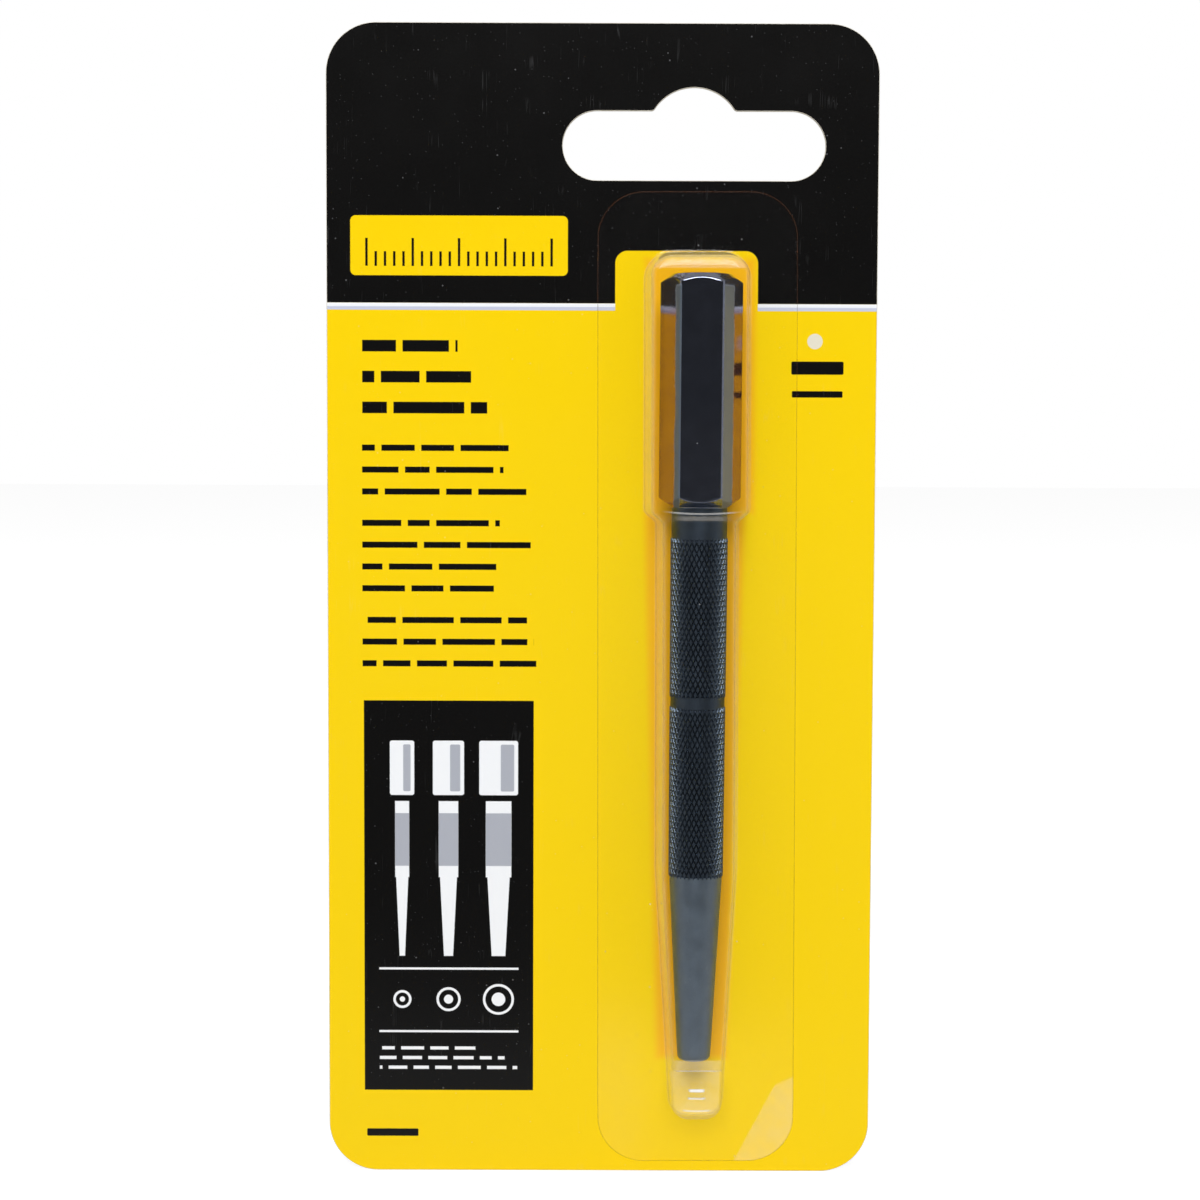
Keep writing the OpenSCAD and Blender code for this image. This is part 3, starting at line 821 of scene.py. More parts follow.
@dataclass(frozen=True)
class BluedSteel:
    """Hardened steel with a thin dark oxide, dusty and a little rubbed.

    The head also has a painted warm reflection of the yellow card along its side flats, and on
    either side of its front flat a dull stripe painted in the tone of the room that it mirrors, a
    painted reflection. Each pair is a stretch of distance, y or z over which one comes or goes.
    """

    groups: Groups
    treatment: Treatment
    patch_tone: float = 0.85
    rub_gain: float = 1.5
    rub_lift: float = 0.03
    rub_share: float = 0.35
    # Painted shade in the knurl's grooves.
    groove_shade: Colour = (0.025, 0.032, 0.050)
    groove_rough: float = 0.3
    crest: Pair = (-0.15, -0.05)
    dust: Colour = (0.70, 0.73, 0.78)
    dust_share: float = 0.9
    dull_loss: float = 0.8
    dull_rough: float = 0.4
    # Painted reflection of the yellow card along the head's side flats.
    painted_card_reflection: Colour = (0.42, 0.245, 0.25)
    card_reflection_share: float = 0.95
    card_reflection_aside: Pair = (2.75, 3.0)
    card_reflection_z: Pair = (-29.8, -28.3)
    # Painted reflections: tones and reaches of the stripes left and right of the front flat.
    left: Colour = (0.095, 0.125, 0.16)
    left_reach: float = 3.4
    right: Colour = (0.17, 0.18, 0.17)
    right_reach: float = 4.05
    stripe_aside: Pair = (2.66, 2.76)
    stripe_edge: Pair = (-0.12, 0.12)
    stripe_y: Pair = (-6.2, -5.9)
    stripe_z: Pair = (-26.2, -25.6)

    def made(self) -> bpy.types.Material:
        """The material."""
        name, colour, rough, uneven = self.treatment.value
        g, made, at, surface = material(name)
        cloud = g.group(self.groups.mottle, at, Per_mm=0.5, Fine=5.0)
        pits = g.group(self.groups.specks, at, Per_mm=1.6, Amount=0.25, Radius=0.12)
        hairs = g.group(self.groups.hairs, at, Per_mm=2.2, Amount=0.25, Stretch=0.08)
        specks = g.group(self.groups.specks, at, Per_mm=0.8, Amount=0.2, Radius=0.045)
        dark = tuple(c * self.patch_tone for c in colour)
        pale = tuple(min(c * self.rub_gain + self.rub_lift, 1.0) for c in colour)
        tone = g.blend(g.ramp(cloud, 0.3, 0.7), dark, colour)
        tone = g.blend(g.times(g.most(hairs, pits), self.rub_share), tone, pale)
        dust_and_painted_stripes, crest_share = g.times(specks, self.dust_share), 1.0
        # Painted shade: on the knurl, the grooves between the crests are darkened.
        if self.treatment is Treatment.KNURL:
            crest_share = self._crest_mask(g, at)
            tone = g.blend(crest_share, self.groove_shade, tone)
        tone = g.blend(dust_and_painted_stripes, tone, self.dust)
        if self.treatment is Treatment.HEAD:
            across = self._across(g, at)
            # Painted reflection of the yellow card on the head's side flats.
            painted_card_reflection = g.times(g.ramp(g.math("ABSOLUTE", across), *self.card_reflection_aside),
                           g.fall(g.parts(at)[2], *self.card_reflection_z, self.card_reflection_share))
            tone = g.blend(painted_card_reflection, tone, self.painted_card_reflection)
            # Painted reflections: dull stripes beside the front flat, in the tones of the room
            # that they mirror.
            for side, reach, shade in ((-1.0, self.left_reach, self.left),
                                       (1.0, self.right_reach, self.right)):
                reflection_stripe = self._reflection_stripe(g, at, g.times(across, side), reach, cloud)
                tone = g.blend(reflection_stripe, tone, shade)
                dust_and_painted_stripes = g.most(dust_and_painted_stripes, reflection_stripe)
        even = g.ramp(cloud, 0.3, 0.7, rough - uneven / 2, rough + uneven / 2)
        even = g.line(g.rest(crest_share), self.groove_rough, even)
        skin = g.node("ShaderNodeBsdfPrincipled", Base_Color=tone,
                      Metallic=g.rest(g.times(dust_and_painted_stripes, self.dull_loss)),
                      Roughness=g.line(dust_and_painted_stripes, self.dull_rough, even),
                      Normal=g.bump(g.minus(cloud, g.times(hairs, 0.3)), 0.18, 0.04))
        g.feed(surface, skin.outputs[0])
        return made

    @staticmethod
    def _across(g: Graph, at: Socket) -> Socket:
        """How far right of the tool's leaning axis a place lies, in millimetres."""
        x, _, z = g.parts(at)
        lean = math.tan(TOOL_LEAN)
        return g.minus(x, g.line(z, lean, TOOL_SPOT[0] - TOOL_SPOT[2] * lean))

    def _crest_mask(self, g: Graph, at: Socket) -> Socket:
        """Mask of the crests, apart from the grooves between them, which are painted dark as
        shade.
        """
        _, y, z = g.parts(at)
        away = g.length(self._across(g, at), g.minus(y, TOOL_SPOT[1]), 0.0)
        slope = (GRIP_WIDTHS[0] - GRIP_WIDTHS[1]) / 2 / (GRIP_ENDS[1] - GRIP_ENDS[0])
        full = g.line(z, slope, GRIP_WIDTHS[0] / 2 - slope * (TOOL_SPOT[2] - GRIP_ENDS[0]))
        return g.ramp(g.minus(away, full), *self.crest)

    def _reflection_stripe(self, g: Graph, at: Socket, across: Socket, reach: float,
                cloud: Socket) -> Socket:
        """Mask of a dull stripe along one flat of the head, a painted reflection of the room.

        Args:
            g: The material's graph.
            at: The place in millimetres.
            across: Its distance from the axis, to the stripe's side.
            reach: Where the stripe ends, at that distance.
            cloud: Cloudiness that makes the stripe's outer edge uneven.

        Returns:
            The mask.
        """
        _, y, z = g.parts(at)
        outer = g.line(g.minus(cloud, 0.5), 0.6, reach)
        return g.times(g.ramp(across, *self.stripe_aside),
                       g.fall(g.minus(across, outer), *self.stripe_edge),
                       g.fall(y, *self.stripe_y), g.fall(z, *self.stripe_z))


@dataclass(frozen=True)
class BackingCard:
    """The printed board with its round corners and hang slot."""

    width: float = 71.5
    height: float = 150.5
    board: float = BOARD
    corner_r: float = 6.5
    middle_x: float = -11.85
    top: float = 8.2
    slot_l: float = 34.0
    slot_h: float = 8.9
    hump_rise: float = 3.0
    hump_r: float = 6.1
    foot_r: float = 0.6
    crush: float = 0.07
    crush_bend: float = 0.3
    corner_steps: int = 20
    end_steps: int = 28
    foot_steps: int = 8
    hump_steps: int = 40

    def outline(self, inset: float) -> list[Pair]:
        """The card's edge, drawn in by an inset."""
        r = self.corner_r
        points: list[Pair] = []
        for turn, x, z in ((0, 1, 1), (90, -1, 1), (180, -1, -1), (270, 1, -1)):
            middle = (self.middle_x + x * (self.width / 2 - r),
                      self.top - self.height / 2 + z * (self.height / 2 - r))
            points += arc(middle, r - inset, turn, turn + 90, self.corner_steps)
        return points

    def slot(self, grow: float) -> list[Pair]:
        """The hang slot's edge, widened by grow."""
        end_r = self.slot_h / 2
        mid_x, mid_z = self.slot_l / 2 - end_r, -self.hump_rise - end_r
        reach, rise = self.hump_r + self.foot_r, self.hump_r - self.hump_rise + self.foot_r
        foot_x = math.sqrt(reach ** 2 - rise ** 2)
        lean = math.degrees(math.atan2(rise, foot_x))
        foot_z = self.foot_r - self.hump_rise
        end, foot, hump = end_r + grow, self.foot_r - grow, self.hump_r + grow
        points = arc((mid_x, mid_z), end, -90, 90, self.end_steps)
        points += arc((foot_x, foot_z), foot, 270, 180 + lean, self.foot_steps)[:-1]
        points += arc((0, -self.hump_r), hump, lean, 180 - lean, self.hump_steps)
        points += arc((-foot_x, foot_z), foot, -lean, -90, self.foot_steps)[1:]
        points += arc((-mid_x, mid_z), end, 90, 270, self.end_steps)
        return points

    def build(self, groups: Groups) -> bpy.types.Object:
        """Builds and dresses the card.

        Args:
            groups: The shared shader node groups.

        Returns:
            The card.
        """
        skin = Skin()
        front, cut, back = range(3)
        bend = self.crush * self.crush_bend
        levels = ((self.crush, -self.board), (bend, -self.board + bend),
                  (0.0, -self.board + self.crush), (0.0, -self.crush), (self.crush, 0.0))
        edges = [[skin.add([(x, y, z) for x, z in line(out)]) for out, y in levels]
                 for line in (self.outline, self.slot)]
        for rings in edges:
            for a, b in zip(rings, rings[1:]):
                skin.bridge(a, b, cut)
        for level, slot in ((0, front), (-1, back)):
            numbers = edges[0][level] + edges[1][level]
            flat = [[Vector(skin.points[i]) for i in rings[level]] for rings in edges]
            for triangle in tessellate_polygon(flat):
                skin.face([numbers[i] for i in triangle], slot)
        finishes = [
            PrintedBoard(groups).made(),
            BareBoard(groups, "cut_board", colour=(0.55, 0.50, 0.40), fibre=(0.80, 0.77, 0.70),
                      per_mm=6.0).made(),
            BareBoard(groups, "board_back", colour=(0.76, 0.74, 0.69),
                      fibre=(0.58, 0.56, 0.50)).made(),
        ]
        return skin.made("printed_card", finishes, Matrix(), flat=(front, back))


@dataclass(frozen=True)
class Blister:
    """The clear sheet: a flat flange and a stepped pocket with rounded edges."""

    sheet: float = 0.3
    crush: float = 0.12
    lift: float = 0.02
    flange_w: float = 26.0
    flange_l: float = 127.6
    flange_r: float = 6.1
    flange_drop: float = 13.3
    beside_fillet: float = 0.1
    aside: float = 0.5
    lean: float = 0.2
    side_draft: float = 4.0
    end_draft: float = 6.5
    base_r: float = 0.4
    edge_r: float = 1.0
    end_edge: float = 2.0
    head_end_r: float = 3.5
    foot_end_r: float = 2.5
    pad_w: float = 2.2
    pad_h: float = 1.9
    pad_rise: float = 0.5
    pad_r: float = 0.5
    pad_drop: float = 130.25
    pad_slope: Pair = (0.12, 0.36)
    axis_depth: float = AXIS_DEPTH
    head_reach: float = HEAD_REACH
    head_half_width: float = HEAD_CORNER_R
    grip_reach: float = 3.9
    tip_reach: float = 2.125
    front_gap: float = 0.35
    head_gap: float = 0.95
    grip_gap: float = 0.8
    tip_gap: float = 1.1
    struck_r: float = 3.75
    struck_down: float = 22.4
    shoulder: float = 54.34
    shoulder_run: float = 1.9
    grip_end: float = 101.55
    step_top: float = 126.8
    step_end: float = 127.7
    foot_end: float = 134.7
    foot_depth: float = 4.2
    columns: int = 26
    turns: int = 12
    shoulder_rows: int = 12
    step_rows: int = 10
    after_step: float = 0.15
    foot_rows: int = 24
    edge_rows: int = 8

    def stations(self) -> list[Point]:
        """Stations down the pocket: distance down, half width and inside depth."""
        flare = self.axis_depth * math.tan(math.radians(self.side_draft)) + self.sheet
        head = self.head_half_width + self.head_gap + flare
        grip = self.grip_reach + self.grip_gap + flare
        tip = self.tip_reach + self.tip_gap + flare
        head_deep, grip_deep, tip_deep = (
            self.axis_depth + self.front_gap + reach
            for reach in (self.head_reach, self.grip_reach, self.tip_reach))
        end_flare = (self.axis_depth + self.struck_r) * math.tan(math.radians(self.end_draft))
        rows = [(self.struck_down - end_flare - self.sheet + self.head_end_r, head, head_deep)]
        for i in range(self.shoulder_rows + 1):
            share = swing(i / self.shoulder_rows)
            rows.append((self.shoulder + self.shoulder_run * i / self.shoulder_rows,
                         mix(head, grip, share), mix(head_deep, grip_deep, share)))
        rows.append((self.grip_end, grip, grip_deep))
        slope = (grip - tip) / (self.step_top - self.grip_end)

        def half(down: float) -> float:
            """Half width of the pocket below the grip."""
            return grip - slope * (down - self.grip_end)

        for i in range(self.step_rows + 1):
            down = mix(self.step_top, self.step_end, i / self.step_rows)
            share = swing(i / self.step_rows)
            rows.append((down, half(down), mix(tip_deep, self.foot_depth, share)))
        first, last = self.step_end + self.after_step, self.foot_end - self.foot_end_r
        rows += [(down, half(down), self.foot_depth)
                 for down in [*steps(first, last, self.foot_rows), last]]
        return rows

    def rows(self) -> list[tuple[int, float]]:
        """Rows across the pocket from its head end: station and angle round the corner."""
        last = len(self.stations()) - 1
        return ([(0, -90 + 90 * i / self.turns) for i in range(self.turns)]
                + [(i, 0.0) for i in range(last + 1)]
                + [(last, 90 * i / self.turns) for i in range(1, self.turns + 1)])

    def ring(self, half_point: Rule) -> list[Point]:
        """A closed ring from a rule for its right half.

        Args:
            half_point: Gives the point of the right side at a station and turn.

        Returns:
            The ring's points: down the right side, across the foot, up and across the head.
        """
        right = [half_point(i, turn) for i, turn in self.rows()]
        shares = [i / self.columns for i in range(1, self.columns)]
        foot = [(mix(right[-1][0], -right[-1][0], s), *right[-1][1:]) for s in shares]
        head = [(mix(-right[0][0], right[0][0], s), *right[0][1:]) for s in shares]
        return right + foot + [(-x, down, out) for x, down, out in reversed(right)] + head

    def wall(self, inset: float, end_inset: float, height: float) -> Rule:
        """A rule for a ring at one height, inset from the outline at the flange."""
        stations = self.stations()

        def point(i: int, turn: float) -> Point:
            """The right side's point at a station and turn."""
            down, half, _ = stations[i]
            r = self.head_end_r if i == 0 else self.foot_end_r
            t = math.radians(turn)
            return (half - r + (r - inset) * math.cos(t), down + (r - end_inset) * math.sin(t),
                    height)

        return point

    def front(self, skin: float, angle: float) -> Rule:
        """A rule for a ring on the rounded front edge; skin is 0 outside."""
        stations = self.stations()
        a = math.radians(angle)
        off = self.edge_r - (self.edge_r - skin) * math.cos(a)

        def point(i: int, turn: float) -> Point:
            """The right side's point at a station and turn."""
            rise = stations[i][2] + self.sheet - self.edge_r
            side, end = (rise * math.tan(math.radians(draft))
                         for draft in (self.side_draft, self.end_draft))
            if i == 0:
                end += (self.end_edge - self.edge_r) * (1 - math.cos(a))
            height = rise + (self.edge_r - skin) * math.sin(a)
            return self.wall(side + off, end + off, height)(i, turn)

        return point

    def base(self, skin: float, angle: float) -> Rule:
        """A rule for a ring on the fillet between flange and walls."""
        a = math.radians(angle)
        inset = (self.base_r + skin) * math.sin(a) - self.base_r
        height = self.sheet + self.base_r - (self.base_r + skin) * math.cos(a)
        return self.wall(inset, inset, height)

    def flange(self, height: float, inset: float = 0.0) -> Rule:
        """A rule for a ring round the flange's edge, drawn in by an inset."""
        stations = self.stations()

        def point(i: int, turn: float) -> Point:
            """The right side's point at a station and turn."""
            t = math.radians(turn)
            r = self.flange_r
            middle = self.flange_drop + (r if i == 0 else self.flange_l - r)
            down = stations[i][0] if turn == 0 else middle + (r - inset) * math.sin(t)
            return (self.flange_w / 2 - r + (r - inset) * math.cos(t), down, height)

        return point

    def padded(self, x: float, down: float) -> float:
        """How far the small pad lifts the front at a place."""
        aside = max(abs(x) - self.pad_w / 2 + self.pad_r, 0.0)
        along = max(abs(down - self.pad_drop) - self.pad_h / 2 + self.pad_r, 0.0)
        away = math.hypot(aside, along) - self.pad_r
        foot, run = self.pad_slope
        return self.pad_rise * ease((foot - away) / run)

    def cap(self, skin: Skin, ring: list[int]) -> None:
        """Closes a ring by a grid across the pocket's front, raised at the pad.

        Args:
            skin: The skin to add to.
            ring: The numbers of the ring's points.
        """
        count = len(self.rows())
        left = ring[count + self.columns - 1: 2 * count + self.columns - 1][::-1]
        grid: list[list[int]] = []
        for k in range(count):
            if k == count - 1:
                grid.append(ring[count - 1: count + self.columns])
                continue
            if k == 0:
                grid.append([ring[0], *ring[2 * count + self.columns - 1:][::-1], left[0]])
                continue
            a, b = skin.points[ring[k]], skin.points[left[k]]
            inner = []
            for i in range(1, self.columns):
                x, down, out = (mix(a[n], b[n], i / self.columns) for n in range(3))
                inner.append((x, down, out + self.padded(x, down)))
            grid.append([ring[k], *skin.add(inner), left[k]])
        for a, b in zip(grid, grid[1:]):
            skin.bridge(a, b, loop=False)

    def build(self, groups: Groups) -> bpy.types.Object:
        """Builds and dresses the sheet.

        Args:
            groups: The shared shader node groups.

        Returns:
            The blister.
        """
        skin = Skin()
        fine = [90 - 90 * i / self.edge_rows for i in range(self.edge_rows + 1)]
        clear = -self.base_r - self.beside_fillet
        rules = [self.front(0.0, a) for a in fine] + [self.base(0.0, a) for a in fine[::2]]
        rules += [self.wall(clear, clear, self.sheet), self.flange(self.sheet, self.crush),
                  self.flange(self.sheet - self.crush), self.flange(self.lift),
                  self.wall(clear, clear, self.lift)]
        rules += [self.base(self.sheet - self.lift, a) for a in fine[::-2]]
        rules += [self.front(self.sheet, a) for a in fine[::-1]]
        rings = [skin.add(self.ring(rule)) for rule in rules]
        for a, b in zip(rings, rings[1:]):
            skin.bridge(a, b)
        self.cap(skin, rings[0])
        self.cap(skin, rings[-1])
        skin.points = [(x, -out, -down) for x, down, out in skin.points]
        turn = Matrix.Rotation(math.radians(-self.lean), 4, "Y")
        place = (Matrix.Translation((0, -BOARD, -self.flange_drop)) @ turn
                 @ Matrix.Translation((self.aside, 0, self.flange_drop)))
        return skin.made("clear_blister", [ClearSheet(groups).made()], place, sharp=30.0)


@dataclass(frozen=True)
class Knurl:
    """One length of diamond knurl, made by Geometry Nodes."""

    CORE_SIDES = 96
    FLAT_TOP = 0.66
    SUNK_CORE = 0.42

    name: str
    start: float
    end: float
    r_start: float
    r_end: float
    around: int = 36
    pitch: float = 1.36
    height: float = 0.2

    @classmethod
    def tree(cls, finish: bpy.types.Material) -> bpy.types.NodeTree:
        """The node tree that sets staggered rows of flat-topped diamonds round a core.

        Args:
            finish: The material of the knurl.

        Returns:
            The tree.
        """
        tree = bpy.data.node_groups.new("DiamondKnurl", "GeometryNodeTree")
        for name, kind, value in (
                ("Start", "Float", 0.03), ("End", "Float", 0.05), ("Radius Start", "Float", 0.004),
                ("Radius End", "Float", 0.004), ("Height", "Float", 0.0003),
                ("Around", "Int", 36), ("Rows", "Int", 30)):
            made = tree.interface.new_socket(name=name, in_out="INPUT",
                                             socket_type=f"NodeSocket{kind}")
            made.default_value = value
        tree.interface.new_socket(name="Geometry", in_out="OUTPUT",
                                  socket_type="NodeSocketGeometry")
        g = Graph(tree)
        s = g.node("NodeGroupInput").outputs
        out = g.node("NodeGroupOutput")
        length = g.minus(s["End"], s["Start"])

        grid = g.node("GeometryNodeMeshGrid", Vertices_X=s["Rows"], Vertices_Y=s["Around"])
        index = g.node("GeometryNodeInputIndex").outputs[0]
        row = g.math("FLOOR", g.over(g.plus(index, 0.5), s["Around"]))
        column = g.minus(index, g.times(row, s["Around"]))
        odd = g.times(g.math("MODULO", row, 2.0), 0.5)
        turn = g.times(g.over(g.plus(column, odd), s["Around"]), math.tau)
        share = g.over(g.plus(row, 0.5), s["Rows"])
        crest_r = g.line(share, g.minus(s["Radius End"], s["Radius Start"]), s["Radius Start"])
        r = g.minus(crest_r, g.times(s["Height"], 0.5))
        down = g.line(share, length, s["Start"])
        spot = g.join(g.times(r, g.math("COSINE", turn)), g.times(r, g.math("SINE", turn)),
                      g.times(down, -1.0))
        placed = g.node("GeometryNodeSetPosition", Geometry=grid.outputs[0], Position=spot)

        cone = g.node("GeometryNodeMeshCone", Vertices=4, Radius_Top=cls.FLAT_TOP,
                      Radius_Bottom=1.0, Depth=1.0)
        wide = g.over(g.times(s["Radius Start"], math.pi), s["Around"])
        diamond = g.node("GeometryNodeTransform", Geometry=cone.outputs[0],
                         Scale=g.join(g.over(length, s["Rows"]), wide, s["Height"]),
                         Rotation=(0.0, math.pi / 2, 0.0))
        stuck = g.node("GeometryNodeInstanceOnPoints", Points=placed.outputs[0],
                       Instance=diamond.outputs[0], Rotation=g.join(0.0, 0.0, turn))

        sunk = g.times(s["Height"], cls.SUNK_CORE)
        core = g.node("GeometryNodeMeshCone", Vertices=cls.CORE_SIDES,
                      Radius_Top=g.minus(s["Radius Start"], sunk),
                      Radius_Bottom=g.minus(s["Radius End"], sunk), Depth=length)
        shaded = g.node("GeometryNodeSetShadeSmooth", Geometry=core.outputs[0])
        seated = g.node("GeometryNodeTransform", Geometry=shaded.outputs[0],
                        Translation=g.join(0.0, 0.0, g.times(s["End"], -1.0)))
        both = g.node("GeometryNodeJoinGeometry")
        g.feed(both.inputs[0], seated.outputs[0])
        g.feed(both.inputs[0], stuck.outputs[0])
        real = g.node("GeometryNodeRealizeInstances", Geometry=both.outputs[0])
        dressed = g.node("GeometryNodeSetMaterial", Geometry=real.outputs[0], Material=finish)
        g.feed(out.inputs[0], dressed.outputs[0])
        return tree

    def build(self, tree: bpy.types.NodeTree, place: Matrix) -> bpy.types.Object:
        """Runs the tree and keeps its result as a plain mesh.

        Args:
            tree: The knurl's node tree.
            place: Where the tool lies, in millimetres.

        Returns:
            The knurled length.
        """
        host = linked(self.name + "_host", bpy.data.meshes.new(self.name + "_host"))
        maker = host.modifiers.new("knurl", "NODES")
        maker.node_group = tree
        values = {"Start": self.start * MM, "End": self.end * MM,
                  "Radius Start": self.r_start * MM, "Radius End": self.r_end * MM,
                  "Height": self.height * MM, "Around": self.around,
                  "Rows": 2 * round((self.end - self.start) / self.pitch)}
        for item in tree.interface.items_tree:
            if item.in_out == "INPUT" and item.name in values:
                maker[item.identifier] = values[item.name]
        graph = bpy.context.evaluated_depsgraph_get()
        mesh = bpy.data.meshes.new_from_object(host.evaluated_get(graph))
        bpy.data.objects.remove(host)
        metres = place.copy()
        metres.translation = place.translation * MM
        mesh.transform(metres)
        mesh.name = self.name
        return linked(self.name, mesh)


@dataclass(frozen=True)
class NailSet:
    """The one-piece tool, drawn with its struck face at zero and its tip down."""

    length: float = 101.6
    head_r: float = HEAD_R
    edge_r: float = HEAD_EDGE_R
    corner_r: float = HEAD_CORNER_R
    head_l: float = 29.7
    struck_d: float = 7.5
    chamfer: float = 1.1
    cone_end: float = 5.0
    dome_r: float = 7.7
    neck_d: float = GRIP_WIDTHS[0]
    low_d: float = GRIP_WIDTHS[1]
    knurl_drop: float = GRIP_ENDS[0]
    upper_end: float = 53.95
    lower_start: float = 55.6
    lower_end: float = GRIP_ENDS[1]
    land: float = 0.9
    land_d: float = 6.75
    tip_d: float = 4.25
    tip_edge: float = 0.6
    cup_d: float = 2.2
    cup_depth: float = 0.45
    blend: float = 0.03
    tip_rows: int = 10
    cup_rows: int = 8
    under_knurl: float = 0.208

    def place(self) -> Matrix:
        """Where the tool lies in its pocket."""
        return (Matrix.Translation(TOOL_SPOT) @ Matrix.Rotation(TOOL_LEAN, 4, "Y")
                @ Matrix.Rotation(-TOOL_TURN, 4, "Z"))

    def bar(self, angle: float) -> float:
        """Radius of the six-sided bar with rounded long edges, at an angle.

        Args:
            angle: The angle round the axis, in radians.

        Returns:
            The radius at that angle.
        """
        side = math.pi / 3
        from_flat = abs((angle % side) - side / 2)
        flat = self.head_r / math.cos(from_flat)
        mid = (self.head_r - self.edge_r) / math.cos(side / 2)
        if flat * math.sin(from_flat) <= mid * math.sin(side / 2):
            return flat
        along = mid * math.cos(side / 2 - from_flat)
        return along + math.sqrt(along ** 2 - mid ** 2 + self.edge_r ** 2)

    def turned(self, down: float) -> float:
        """Radius of the turned envelope at a distance down the tool."""
        neck, struck = self.neck_d / 2, self.struck_d / 2
        if down < self.cone_end:
            return struck + down * (self.corner_r - struck) / self.chamfer
        dome_mid = self.head_l - math.sqrt(self.dome_r ** 2 - neck ** 2)
        if down < self.head_l:
            return math.sqrt(self.dome_r ** 2 - max(down - dome_mid, 0.0) ** 2)
        if down < self.knurl_drop:
            return neck
        if down < self.lower_end:
            share = (down - self.knurl_drop) / (self.lower_end - self.knurl_drop)
            r = mix(self.neck_d, self.low_d, share) / 2
            plain = self.upper_end < down < self.lower_start
            return r if plain else r - self.under_knurl
        if down < self.lower_end + self.land:
            return self.land_d / 2
        share = (down - self.lower_end - self.land) / (self.length - self.lower_end - self.land)
        return mix(self.land_d, self.tip_d, share) / 2

    def levels(self) -> list[float]:
        """Distances down the tool of its rings: closest where the shape turns fastest."""
        neck, knurl, low = self.head_l, self.knurl_drop, self.lower_end
        land = low + self.land
        cone, dome, dome_end = 2.2, neck - 1.5, neck - 0.04
        head = steps(0.03, cone, 40) + steps(cone, dome, 14) + steps(dome, dome_end, 40)
        shank = [dome_end, neck + 0.06, neck + 0.2, neck + 0.6, neck + 2.3,
                 knurl - 0.35, knurl - 0.07, knurl - 0.01]
        grip = [knurl + 0.02, self.upper_end - 0.02, self.upper_end + 0.05,
                self.lower_start - 0.05, self.lower_start + 0.02, low - 0.05]
        foot = [low + 0.02, low + 0.1, land - 0.06, land + 0.02]
        return head + shank + grip + foot + steps(land + 0.4, self.length - self.tip_edge, 16)

    def shaft(self, finishes: Sequence[bpy.types.Material]) -> bpy.types.Object:
        """Builds the bar from its struck face to its cupped tip.

        Args:
            finishes: The finishes of the head, the grip and the taper.

        Returns:
            The shaft.
        """
        skin = Skin()
        head, grip, taper = range(3)
        near_edge, on_flat = [*steps(-4.5, 4.5, 9), 4.5], steps(7.5, 54.0, 15)
        turns = [math.radians(side + a) for side in range(0, 360, 60)
                 for a in near_edge + on_flat]

        def circle(radius: Callable[[float], float], down: float) -> list[int]:
            """A ring whose radius may depend on the angle."""
            return skin.add([(radius(t) * math.cos(t), radius(t) * math.sin(t), -down)
                             for t in turns])

        struck = self.struck_d / 2
        rings = [circle(lambda t, r=r: r, down) for r, down in (
            (0.4, 0.0), (struck * 0.6, 0.0), (struck - 0.16, 0.0), (struck - 0.06, 0.008))]
        slots = [head] * len(rings)
        for down in self.levels():
            wall = self.turned(down)
            if down < self.head_l:
                rings.append(
                    circle(lambda t, w=wall: soft_min((self.bar(t), w), self.blend), down))
            else:
                rings.append(circle(lambda t, w=wall: w, down))
            slots.append(head if down < self.head_l + 0.1
                         else grip if down < self.lower_end else taper)
        edge, tip = self.tip_edge, self.tip_d / 2
        for a in (math.radians(90 * i / self.tip_rows) for i in range(self.tip_rows + 1)):
            rings.append(circle(lambda t, a=a: tip - edge + edge * math.cos(a),
                                self.length - edge + edge * math.sin(a)))
        cup_r = ((self.cup_d / 2) ** 2 + self.cup_depth ** 2) / (2 * self.cup_depth)
        for r in (self.cup_d / 2 * (1 - i / self.cup_rows) for i in range(self.cup_rows)):
            rise = math.sqrt(cup_r ** 2 - r ** 2) - (cup_r - self.cup_depth)
            rings.append(circle(lambda t, r=r: r, self.length - rise))
        slots += [taper] * (len(rings) - len(slots))
        for a, b, slot in zip(rings, rings[1:], slots[1:]):
            skin.bridge(a, b, slot)
        for ring, down, slot in ((rings[0], 0.0, head),
                                 (rings[-1], self.length - self.cup_depth, taper)):
            middle = skin.add([(0.0, 0.0, -down)])[0]
            for i, number in enumerate(ring):
                skin.face((number, ring[(i + 1) % len(ring)], middle), slot)
        return skin.made("nail_set_shaft", finishes, self.place(), sharp=38.0)

    def build(self, groups: Groups) -> list[bpy.types.Object]:
        """Builds and dresses the tool.

        Args:
            groups: The shared shader node groups.

        Returns:
            The shaft with its head and taper, and the two knurled lengths.
        """
        finishes = {t: BluedSteel(groups, t).made() for t in Treatment}
        pieces = [self.shaft(list(finishes.values()))]
        tree = Knurl.tree(finishes[Treatment.KNURL])
        slope = (self.low_d - self.neck_d) / 2 / (self.lower_end - self.knurl_drop)
        for name, start, end in (("upper_knurl", self.knurl_drop, self.upper_end),
                                 ("lower_knurl", self.lower_start, self.lower_end)):
            r = [self.neck_d / 2 + slope * (down - self.knurl_drop) for down in (start, end)]
            pieces.append(Knurl(name, start, end, r[0], r[1]).build(tree, self.place()))
        return pieces


